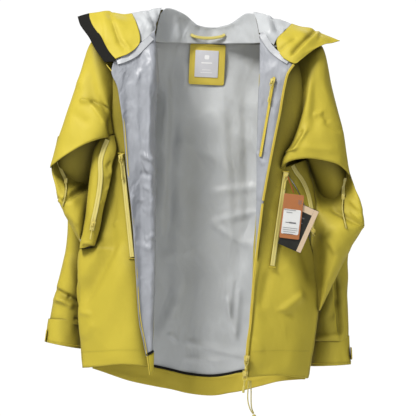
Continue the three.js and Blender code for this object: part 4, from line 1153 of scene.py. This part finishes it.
cuff("right_cuff_cloth", ((-341, 84, -602), (-268, 84, -602), 37.6, 37.6, 0),
     ((-348, 82, -651), (-269, 82, -666), 37, 36, 0), "right_cuff")
cuff("left_cuff_cloth", ((301.6, 84, -638), (222, 84, -638), 37.6, 37.6, 0),
     ((305.5, 82, -699), (218, 82, -703), 37, 36, 0), "left_cuff")


# %% [markdown]
# ## Corners rounded like cut cloth
# Tabs, labels and tags are flat shapes with rounded corners. One maker takes
# the place and size of such a piece from the frame and cuts a better shape.

# %% Rounded plates
def box_axes(node):
    """Centre, axes and sizes of a straight plate in the frame: across, outwards and along."""
    v = np.array([corner.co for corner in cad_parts[node].data.vertices])
    centre = (v.min(axis=0) + v.max(axis=0)) / 2 if len(v) < 8 else v.mean(axis=0)
    _, _, axes = np.linalg.svd(np.unique(np.round(v - centre, 7), axis=0), full_matrices=False)
    spans = [np.ptp((v - centre) @ a) for a in axes]
    order = np.argsort(spans)
    thin, wide, long = (axes[i] for i in order)
    return centre, wide, thin, long, [spans[i] for i in order]


def plate(name, centre, across, up, out, width, height, thick, radius, material, body="root",
          crown=0.0, steps=6, **where):
    """A rounded plate. across, up and out are its directions, and sizes are in metres."""
    ring = []
    for cx, cy, start in ((1, 1, 0), (-1, 1, 90), (-1, -1, 180), (1, -1, 270)):
        for k in range(steps + 1):
            a = math.radians(start + 90 * k / steps)
            ring.append((cx * (width / 2 - radius) + radius * math.cos(a),
                         cy * (height / 2 - radius) + radius * math.sin(a)))
    ring = np.array(ring)
    layers = [(1.0, -0.5, 0), (1.0, 0.2, 0), (0.985, 0.5, 0), (0.6, 0.5, 0.7), (0.25, 0.5, 1.0)]
    vertices = []
    for scale, depth, rise in layers:
        flat = ring * scale if scale < 0.9 else ring - unit(ring) * (1 - scale) * width
        vertices.append(centre + flat[:, :1] * across + flat[:, 1:] * up
                        + out * (depth * thick + rise * crown))
    v = np.concatenate(vertices)
    n = len(ring)
    faces = [(a * n + i, a * n + (i + 1) % n, (a + 1) * n + (i + 1) % n, (a + 1) * n + i)
             for a in range(len(layers) - 1) for i in range(n)]
    faces.append(tuple(range(n))[::-1])
    faces.append(tuple(4 * n + i for i in range(n)))
    if np.dot(np.cross(across, up), out) < 0:
        faces = [f[::-1] for f in faces]
    return new_piece(name, v, faces, material, body=body, smooth_faces=False, **where)


def faced(node, towards):
    """The plate's axes, turned so that out points the given way and up points up."""
    centre, wide, thin, long, (thick, width, length) = box_axes(node)
    out = thin * (1 if thin @ np.array(towards) > 0 else -1)
    up = long * (1 if long[2] > 0 else -1)
    across = np.cross(up, out)
    return centre, across, up, out, width, length, thick


for side, away in (("right", -1), ("left", 1)):
    centre, along, wide, out, height, length, thick = faced(f"{side}_cuff_tab", (away, 0, 0))
    tab = plate(f"{side}_tab", centre, wide, along, out, length, height, thick, 0.008, face_trim,
                body=f"{side}_cuff_tab", node=f"{side}_cuff_tab", slot="tab_plastic", crown=0.0004)
    print(tab.name, round(length * 1000), "x", round(height * 1000), "mm")


# %% [markdown]
# ## The collar
# The tall collar is laid open over the shoulders. Its inside is grey film at
# the back and citron cloth towards the front, and the wearer's right side ends
# in a black brushed strip, which keeps the zip off the chin.

# %% Collar
BACK_COLLAR = [
    [[-100, 2, 46], [-84, 14, 58], [-50, 36, 46], [-25, 56, 26], [0, 64, 20], [25, 58, 20],
     [50, 42, 28], [78, 22, 46], [98, 4, 46]],
    [[-106, -6, 20], [-88, 22, 26], [-56, 44, 22], [-26, 61, 12], [0, 67, 9], [26, 61, 9],
     [56, 44, 14], [86, 22, 20], [104, -4, 18]],
    [[-112, -22, -15], [-92, 17, -15], [-60, 43, -15], [-28, 60, -15], [0, 67, -15], [28, 60, -15],
     [60, 43, -16], [90, 17, -17], [110, -20, -18]],
]
RIGHT_FLAP = [
    [[-162, -8, 46], [-146, -6, 49], [-130, -4, 52], [-114, -1, 56], [-98, 2, 58]],
    [[-151, -40, 24], [-140, -38, 27], [-128, -34, 30], [-116, -26, 34], [-104, -12, 36]],
    [[-143, -60, -6], [-134, -57, -2], [-124, -52, 4], [-116, -44, 10], [-109, -30, 14]],
    [[-143, -68, -22], [-136, -66, -16], [-128, -62, -8], [-119, -54, 0], [-111, -44, 6]],
]
LEFT_FLAP = [
    [[178, -8, 23], [158, -6, 31], [140, -4, 38], [122, -1, 44], [96, 3, 50]],
    [[160, -42, 6], [146, -38, 12], [132, -34, 20], [118, -28, 26], [102, -12, 32]],
    [[144, -60, -12], [134, -57, -6], [124, -52, 0], [115, -44, 6], [106, -32, 10]],
    [[138, -70, -24], [130, -68, -18], [122, -64, -10], [114, -56, -2], [107, -46, 4]],
]
RIGHT_COLLAR = [
    [[-160, -8, 46], [-178, -10, 44], [-199.5, -13, 48], [-208, -14, 52], [-230, -18, 48],
     [-252, -21, 45]],
    [[-151, -42, 26], [-168, -45, 24], [-188, -48, 26], [-202, -50, 28], [-222, -48, 22],
     [-243, -46, 20]],
    [[-143, -64, 0], [-158, -68, -3], [-176, -71, -6], [-192, -72, -4], [-208, -70, -8],
     [-224, -66, -8]],
    [[-143, -74, -20], [-156, -78, -26], [-170, -81, -32], [-186, -82, -32], [-198, -81, -34],
     [-210, -78, -34]],
    [[-155, -82, -35], [-162, -85, -40], [-170, -87, -45], [-178, -88, -48], [-186, -89, -51],
     [-193, -90, -54]],
]
LEFT_COLLAR = [
    [[177, -8, 24], [196, -10, 18], [220, -13, 14], [240, -17, 3], [262, -20, -6],
     [278, -22, -13]],
    [[160, -42, 6], [182, -46, 4], [206, -48, 0], [226, -46, -8], [246, -40, -13],
     [264, -32, -17]],
    [[144, -62, -12], [164, -68, -14], [186, -72, -19], [206, -70, -26], [224, -64, -28],
     [240, -56, -23]],
    [[146, -76, -36], [160, -80, -36], [176, -84, -40], [190, -84, -43], [202, -80, -42],
     [215, -72, -39]],
    [[158, -88, -52], [164, -90, -56], [170, -91, -60], [175, -92, -62], [180, -92, -64],
     [186, -91, -62]],
]
CHIN_GUARD = [
    [[-251, -22, 45], [-262, -22, 42], [-275, -20, 38]],
    [[-246, -38, 27], [-257, -38, 23], [-268, -36, 18]],
    [[-224, -66, -6], [-237, -65, -10], [-251, -62, -5]],
    [[-210, -79, -34], [-222, -78, -37], [-237, -74, -31]],
    [[-191, -92, -59], [-203, -91, -60], [-216, -88, -61]],
]
back_collar_net = folded(fine_net(BACK_COLLAR, 3.0), [((-70, 40), (-60, -8), 2, 8, 6, 0.3)],
                         seed=81, amount=0.6, size=40, edge=9)
right_flap_net = folded(fine_net(RIGHT_FLAP, 3.0), [
    ((-140, 46), (-118, 10), 4, 5, 7, 0.3), ((-126, 52), (-108, 20), -4, 6, 5, 0.3)],
    seed=82, amount=0.8, size=36, edge=6)
left_flap_net = folded(fine_net(LEFT_FLAP, 3.0), [
    ((136, 40), (150, 8), -5, 7, 6, 0.3), ((122, 40), (132, 4), 3, 6, 6, 0.3)],
    seed=83, amount=0.8, size=36, edge=6)
right_collar_net = folded(fine_net(RIGHT_COLLAR, 3.0), [
    ((-207, 50), (-183, -24), -5, 5, 9, 0.25), ((-198, 20), (-174, -36), -2, 6, 6, 0.3),
    ((-220, 44), (-212, -20), 2.5, 8, 6, 0.3), ((-162, -34), (-176, -14), 2, 4, 4, 0.4)],
    seed=84, amount=0.6, size=50, edge=6)
left_collar_net = folded(fine_net(LEFT_COLLAR, 3.0), [
    ((229, 10), (175, -45), -6, 3, 6, 0.2), ((183, -10), (149, -36), -3, 4, 4, 0.3),
    ((234, 6), (190, -36), 3, 9, 4, 0.3), ((238, 4), (232, -14), -2, 4, 4, 0.4)],
    seed=85, amount=0.6, size=50, edge=6)
chin_net = folded(fine_net(CHIN_GUARD, 3.0), seed=86, amount=0.4, size=30, edge=5)
for name, net, near, node, slot in (
        ("neck_back", back_collar_net, lining_film, "back_collar", "lining"),
        ("right_collar_film", right_flap_net, lining_film, "right_collar_flap", "lining"),
        ("left_collar_film", left_flap_net, lining_film, "left_collar_flap", "lining"),
        ("right_collar_cloth", right_collar_net, face_cloth, "right_collar_facing", "shell_fabric"),
        ("left_collar_cloth", left_collar_net, face_cloth, "left_collar_facing", "shell_fabric"),
        ("chin_strip", chin_net, black_tape, "chin_guard", "black_tape")):
    far = near if name == "neck_back" else face_cloth
    panel(name, net, near, far, node=node)


# %% [markdown]
# ## The hood
# The hood hangs down the back as an open pouch. Its outside is citron and its
# inside is grey. It is one net that runs down from the neck, turns at the
# bottom and comes up again to a stiffened brim.

# %% Hood and brim
HOOD = [
    [[-162, 2, 42], [-126, 10, 50], [-88, 26, 54], [-48, 48, 40], [0, 74, 16], [48, 52, 24],
     [86, 30, 44], [124, 12, 39], [178, 2, 19]],
    [[-184, 40, 37], [-140, 50, 42], [-100, 62, 49], [-50, 76, 35], [0, 94, 11], [50, 78, 19],
     [100, 62, 37], [140, 50, 30], [184, 38, 11]],
    [[-178, 80, -10], [-142, 90, -10], [-108, 97, -14], [-54, 104, -22], [0, 108, -30],
     [54, 104, -24], [108, 97, -20], [142, 90, -18], [178, 80, -24]],
    [[-152, 94, -70], [-124, 102, -86], [-98, 107, -98], [-50, 111, -120], [0, 113, -130],
     [50, 111, -122], [98, 107, -104], [124, 102, -92], [152, 94, -80]],
    [[-130, 108, -106], [-106, 115, -136], [-82, 120, -156], [-42, 124, -190], [0, 126, -203],
     [42, 124, -192], [82, 120, -160], [106, 115, -140], [130, 108, -112]],
    [[-134, 126, -96], [-110, 138, -128], [-86, 146, -148], [-44, 154, -182], [0, 157, -196],
     [44, 154, -184], [86, 146, -152], [110, 138, -130], [134, 126, -104]],
    [[-152, 130, -50], [-124, 142, -70], [-98, 151, -84], [-50, 160, -106], [0, 164, -116],
     [50, 160, -108], [98, 151, -88], [124, 142, -74], [152, 130, -58]],
    [[-170, 114, -6], [-138, 130, -16], [-106, 140, -22], [-54, 150, -33], [0, 154, -38],
     [54, 150, -35], [106, 140, -28], [138, 130, -22], [170, 114, -16]],
]
HOOD_BRIM = [
    [[-168, 112, -2], [-106, 138, -18], [-54, 148, -29], [0, 152, -34], [54, 148, -31],
     [106, 138, -24], [168, 112, -12]],
    [[-163, 104, 4], [-104, 128, -10], [-53, 138, -20], [0, 142, -25], [53, 138, -22],
     [104, 128, -16], [163, 104, -6]],
    [[-156, 98, 6], [-102, 120, -6], [-52, 130, -14], [0, 134, -18], [52, 130, -16],
     [102, 120, -12], [156, 98, -4]],
]
hood_net = fine_net(HOOD, 5.0)
hood_normal = normals_of(hood_net)
hood_move = ripple(hood_net, 91, 2.6, 85)
OUTER_WALL_Y = 118  # mm, folds act only on the pouch's outer wall, behind this depth
for fold in (((-120, 10), (-60, -150), 5, 12, 14, 0.3), ((110, 0), (64, -150), 5, 14, 12, 0.3),
             ((-30, -60), (-20, -190), -4, 16, 12, 0.3), ((34, -40), (20, -190), -4, 12, 16, 0.3),
             ((-150, -40), (-100, -60), 3, 8, 8, 0.3)):
    hood_move = hood_move + stroke(hood_net, *fold) * (hood_net[..., 1] > OUTER_WALL_Y)
hood_net = hood_net + hood_normal * hood_move[..., None] * np.clip(
    (hood_net[..., 1:2] - 20) / 60, 0, 1)
hood = panel("hood_cloth", hood_net, face_cloth, lining_film, node="hood", facing=(0, 0, 0),
             rim=1)
brim_net = fine_net(HOOD_BRIM, 4.0)
BRIM_THICK = 0.003
panel("brim", brim_net, face_trim, face_trim, node="hood_brim",
          thick=BRIM_THICK)


# %% [markdown]
# ## Neck tapes and hem trims
# A welded tape covers the neck seam at the top of each facing. It is a thin,
# slightly shinier band, pressed close to the cloth. At the hem a black tape
# covers the elastic, and below it the citron cloth turns in.

# %% Neck tapes and hem trims
def tape(name, net, places, width, material, lift=1.0, thick=0.5, out=(0, -1, 0), **where):
    line = smooth(on_net(net, places, lift), [6] * (len(places) - 1))
    line[:, 1] = on_net(net, [(x, z) for x, _, z in line], lift)[:, 1]
    weight = np.array([0.15, 0.2, 0.3, 0.2, 0.15])
    padded_y = np.pad(line[:, 1], 2, mode="edge")
    line[:, 1] = np.convolve(padded_y, weight, mode="valid")
    return ribbon(name, line, flat_section(width, thick, 0.15), material, out=out, **where)


for name, net, places, lean in (
        ("right_neck_tape", right_facing_net,
         [(-190, -60), (-172, -54), (-152, -43), (-134, -25), (-118, -8)], 0.2),
        ("left_neck_tape", left_facing_net,
         [(168, -60), (150, -48), (134, -34), (120, -14), (112, 0)], -0.2)):
    tape(name, net, places, 13, seam_tape, lift=1.4, thick=0.35, out=(lean, -0.9, 0.4),
         slot="lining")
HEM_X = [-245, -225, -170, -114, -78, -46, -10, 18, 46, 69, 110, 150, 190, 206]
TAPE_Z = [-670, -676, -690, -701, -709, -717, -721.5, -721.5, -717, -712, -706, -700, -692, -688]
HEM_Z = [-705, -712, -732, -745, -752, -760, -765, -765, -760, -756, -745, -734, -729, -728]


def hem_strip(name, upper, lower, material, lift, node):
    rows = []
    for share in (0, 0.25, 0.5, 0.75, 1):
        rows.append(on_net(back_net, [(x, a + (b - a) * share)
                                      for x, a, b in zip(HEM_X, upper, lower)], lift))
    net = fine_net(rows, 4.0)
    made = panel(name, net, material, material, node=node, thick=0.0009)
    return net


hem_strip("hem_tape", [z + 0.6 for z in TAPE_Z], [z - 6 for z in TAPE_Z], black_tape, 2.4,
          "hem_drawcord_tape")
hem_net = hem_strip("hem_turn_up", [z - 5 for z in TAPE_Z], [z - 1 for z in HEM_Z], face_trim, 2.6,
                    "back_hem_facing")
tape("right_hem_tape", right_facing_net, [(-129, -672), (-122, -669), (-114, -664)], 5, black_tape,
     lift=1.4, slot="black_tape")
RIGHT_HEM_END = [
    [[-129, -73, -675], [-124, -73, -673], [-119, -70, -671], [-113, -65, -667]],
    [[-126, -73, -692], [-122, -73, -692], [-118, -70, -691], [-113, -65, -690]],
    [[-121, -72, -716], [-119, -72, -713], [-117, -69, -710], [-114, -65, -707]],
]
right_hem_net = fine_net(RIGHT_HEM_END, 3.0)
panel("right_hem_end", right_hem_net, face_cloth, face_cloth)


# %% [markdown]
# ## Zips
# A water-resistant zip hides its teeth behind two rubbery lips that meet in the
# middle. So each zip here is a ribbon whose section has a slit. The front zip
# is a separating one, and only the edge of its tape is made.

# %% Zips
def zip_line(node):
    centre, across, up, out, width, length, thick = faced(node, (0, -1, 0))
    line = from_frame(np.linspace(centre + up * length / 2, centre - up * length / 2, 40))
    return line, out, width * 1000, thick * 1000


PIT_LINES = {
    "right_pit": (right_gusset_net, [(-211, -222), (-220, -245), (-225.5, -268), (-225, -299),
                                     (-228, -329), (-234, -363), (-240, -389), (-244, -412)]),
    "left_pit": (left_gusset_net, [(178, -276), (186, -290), (198, -306), (208, -326),
                                   (215, -350), (222, -390), (226, -430)]),
}
for name in ("right_pocket", "left_pocket", "chest_pocket", "right_pit", "left_pit"):
    line, out, width, thick = zip_line(f"{name}_zip")
    if name in PIT_LINES:
        net, places = PIT_LINES[name]
        line = smooth(on_net(net, places, 1.6), [6] * (len(places) - 1))
        line[1:-1, 1] = np.convolve(line[:, 1], [0.25, 0.5, 0.25], mode="valid")
    skin = zip_thread if name == "chest_pocket" else zip_skin
    shown = 5.5 if name == "chest_pocket" else width
    ribbon(f"{name}_lips", line, zip_section(shown, thick), skin, out=out, node=f"{name}_zip",
           slot="zip_tape")
    if "pocket" in name and "chest" not in name:
        for end, label in ((0, "top"), (-1, "foot")):
            drop = 3 if end == -1 else -1
            place = line[end] - np.array([0, 0.1, drop])
            ribbon(f"{name}_{label}_tack", [place + [-7, 0, 0.6], place + [0, -0.2, 0],
                                            place + [7, 0, -0.6]],
                   flat_section(2.2, 1.4, 0.4), face_trim, out=out, slot="shell_trim")
    print(name, "zip", round(float(np.linalg.norm(line[0] - line[-1]))), "mm")

LEFT_EDGE = [(179, -91, -66), (166.5, -90, -85), (159.8, -89, -111), (154.8, -88, -137.6),
             (149.2, -87, -172), (143, -85, -201.6), (126.5, -82, -285.6), (115, -79, -350)]
LEFT_EDGE_LOW = [(114.2, -79, -356), (102.4, -80, -453.6), (96, -81, -513.7), (92, -82, -565),
                 (88.4, -82, -609), (82.2, -82, -653), (78.2, -82, -718)]
RIGHT_EDGE = [(-212, -86, -66), (-199, -86, -84), (-187, -86, -113), (-179.5, -84.5, -159),
              (-173.5, -84, -202), (-165.5, -83, -300), (-156.5, -82, -383), (-149.5, -81, -481),
              (-142, -79, -588), (-131, -76, -650), (-122, -74, -714)]
for name, points, node, width in (
        ("left_edge_upper", LEFT_EDGE, "left_zip_chain_upper", 5.0),
        ("left_edge_lower", LEFT_EDGE_LOW, "left_zip_chain_lower", 5.0),
        ("right_edge", RIGHT_EDGE, "right_zip_chain", 1.8)):
    line = smooth(points, [8] * (len(points) - 1))
    ribbon(name, line, zip_section(width, 2.0), zip_thread, node=node, slot="zip_tape")
    print(name, round(length_of(line)), "mm")


# %% [markdown]
# ## Sliders and pulls
# The sliders are die-cast and painted to match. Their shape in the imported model
# is right, so they stay, and take a glossy paint. The pulls are cord ends
# dipped in rubber.

# %% Slider and pull finishes
for node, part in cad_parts.items():
    if node.endswith("_slider") or node.endswith("_pull"):
        part.data.materials.clear()
        part.data.materials.append(slider_paint if node.endswith("_slider") else pull_rubber)

SLEEVE_ZIPS = {
    "right_sleeve": (right_elbow_net, [(-317, -268), (-311, -284), (-304, -298), (-300, -308)],
                     [(-300, -308), (-298.5, -328), (-302, -348), (-306, -362)]),
    "left_sleeve": (left_elbow_net, [(291, -302), (288, -312), (286, -322), (285, -342)],
                    [(284.5, -344), (283, -367), (286, -388), (290, -408)]),
}
for name, (net, chain, cord) in SLEEVE_ZIPS.items():
    tape(f"{name}_zip", net, chain, 6.5, zip_skin, lift=2.2, thick=1.4, slot="zip_tape")
    tape(f"{name}_pull", net, cord, 2.4, cord_yarn, lift=4.0, thick=2.0, slot="pull_cord")
    x, y, z = on_net(net, chain[-1:], 4.0)[0]
    plate(f"{name}_slider", to_frame([x, y, z]), np.array([1.0, 0, 0]), np.array([0, 0, 1.0]),
          np.array([0, -1.0, 0]), 0.007, 0.012, 0.004, 0.0025, slider_paint, slot="slider_paint",
          crown=0.001)


# %% [markdown]
# ## Hang loop, label and tags
# The loop is a flat tube in the paler citron of the cords. The woven label sits on a citron
# patch and carries only plain bars, so that it names no maker. The tags are
# cards on a red string: one has a sticker, the other is a folded booklet.

# %% Loop and label
SKIM = 0.0002  # metres that a print or a thread stands above its plate
LOOP = [(-36, 54, 4), (-29, 51.6, 0), (-14, 52, -2.8), (0, 53, -3.6), (14, 52, -2.8), (29, 51.6, 0),
        (36, 54, 4)]
ribbon("loop", smooth(LOOP, [6] * 6), flat_section(6.5, 3.0, 1.0), cord_yarn, out=(0, -0.9, 0.4),
       node="hang_loop", slot="loop_cord")

centre, across, up, out, width, length, thick = faced("label_backing", (0, -1, 0))
plate("label_patch", centre, across, up, out, width, length, thick, 0.005, patch_cloth,
      node="label_backing", slot="label_backing", crown=0.0006)
for share, label in ((0.46, "top"), (-0.46, "foot")):
    level = from_frame(centre + out * (thick / 2 + SKIM)) + up * length * share * 1000
    reach = across * width * 460
    stitches(f"patch_stitch_{label}", [level - reach, level, level + reach], stitch_thread,
             out=out)
centre, across, up, out, width, length, thick = faced("neck_label", (0, -1, 0))
plate("label", centre, across, up, out, width, length, thick, 0.002, label_satin,
      node="neck_label", slot="label_weave", crown=0.0004)
for row, (long, tall) in enumerate(((0.20, 0.16), (0.46, 0.045), (0.36, 0.02), (0.5, 0.02))):
    level = centre + up * length * (0.25, 0.04, -0.22, -0.32)[row] + out * (thick / 2 + 0.0005)
    plate(f"label_bar_{row}", level, across, up, out, width * long, length * tall, 0.0002,
          length * tall * 0.3, label_mark, slot="label_weave")


# %% Tags
centre, across, up, out, width, length, thick = faced("swing_tag", (0, -1, 0))
plate("swing_card", centre, across, up, out, width, length, thick, 0.0025, tag_card,
      body="swing_tag", node="swing_tag", slot="tag_card")
face = out * (thick / 2 + SKIM)
plate("swing_sticker", centre + face - up * length * 0.12, across, up, out, width * 0.86,
      length * 0.56, 0.0003, 0.003, sticker_paper, body="swing_tag", slot="tag_card")
lines = [(0.30, -0.20, 0.6, 0.010), (0.245, -0.22, 0.3, 0.010), (0.02, -0.26, 0.24, 0.012),
         (0.02, 0.14, 0.34, 0.030), (-0.10, 0.0, 0.74, 0.008), (-0.145, 0.0, 0.74, 0.008),
         (-0.19, -0.06, 0.62, 0.008), (-0.235, -0.1, 0.5, 0.008)]
for row, (rise, shift, long, tall) in enumerate(lines):
    bar_place = centre + face * 2.2 + up * length * (rise - 0.16) + across * width * shift * 0.6
    plate(f"swing_line_{row}", bar_place, across, up, out, width * long, length * tall, 0.0001,
          length * tall * 0.3, print_grey, body="swing_tag", slot="tag_card")
for column in range(3):
    for row in range(4):
        if (column + row) % 2:
            continue
        square = centre + face + up * length * (0.37 - row * 0.026) + across * width * (
            0.27 + column * 0.058)
        plate(f"swing_square_{column}_{row}", square, across, up, out, width * 0.05, length * 0.022,
              0.0001, 0.0001, print_grey, body="swing_tag", slot="tag_card")

centre, across, up, out, width, length, thick = faced("booklet_tag", (0, -1, 0))
plate("booklet", centre, across, up, out, width, length, thick, 0.002, booklet_cover,
      body="booklet_tag", node="booklet_tag", slot="booklet_cover")
face = out * (thick / 2 + SKIM)
plate("booklet_edge", centre + face + across * width * 0.40, across, up, out, width * 0.19,
      length * 0.98, 0.0003, 0.001, booklet_cream, body="booklet_tag", slot="booklet_cover")
plate("booklet_head", centre + face + up * length * 0.42 - across * width * 0.1, across, up, out,
      width * 0.8, length * 0.14, 0.0003, 0.001, booklet_cream, body="booklet_tag",
      slot="booklet_cover")
for row in range(3):
    place = centre + face + up * length * (0.22 - 0.11 * row) - across * width * (0.12 - 0.05 * row)
    plate(f"booklet_shape_{row}", place, across, up, out, width * (0.4 - 0.08 * row), length * 0.02,
          0.0002, 0.0006, print_grey, body="booklet_tag", slot="booklet_cover")


# %% [markdown]
# ## Stitching
# The hems of the fronts and the back are topstitched. The threads are real
# geometry, because they catch the light.

# %% Stitch rows
HEM_STITCH_Z = -664


def hem_row(net, row):
    return net[row, 2:-2:6] - np.array([0, 1.5, 0])


for name, net in (("right_front", right_front_net), ("left_front", left_front_net)):
    level = int(np.argmin(np.abs(net[:, net.shape[1] // 2, 2] - HEM_STITCH_Z)))
    stitches(f"{name}_hem_stitch", hem_row(net, level), stitch_thread)
    stitches(f"{name}_edge_stitch", hem_row(net, len(net) - 2), stitch_thread)
stitches("back_hem_stitch", hem_net[2, ::8] - np.array([0, 1.0, 0]), stitch_thread)
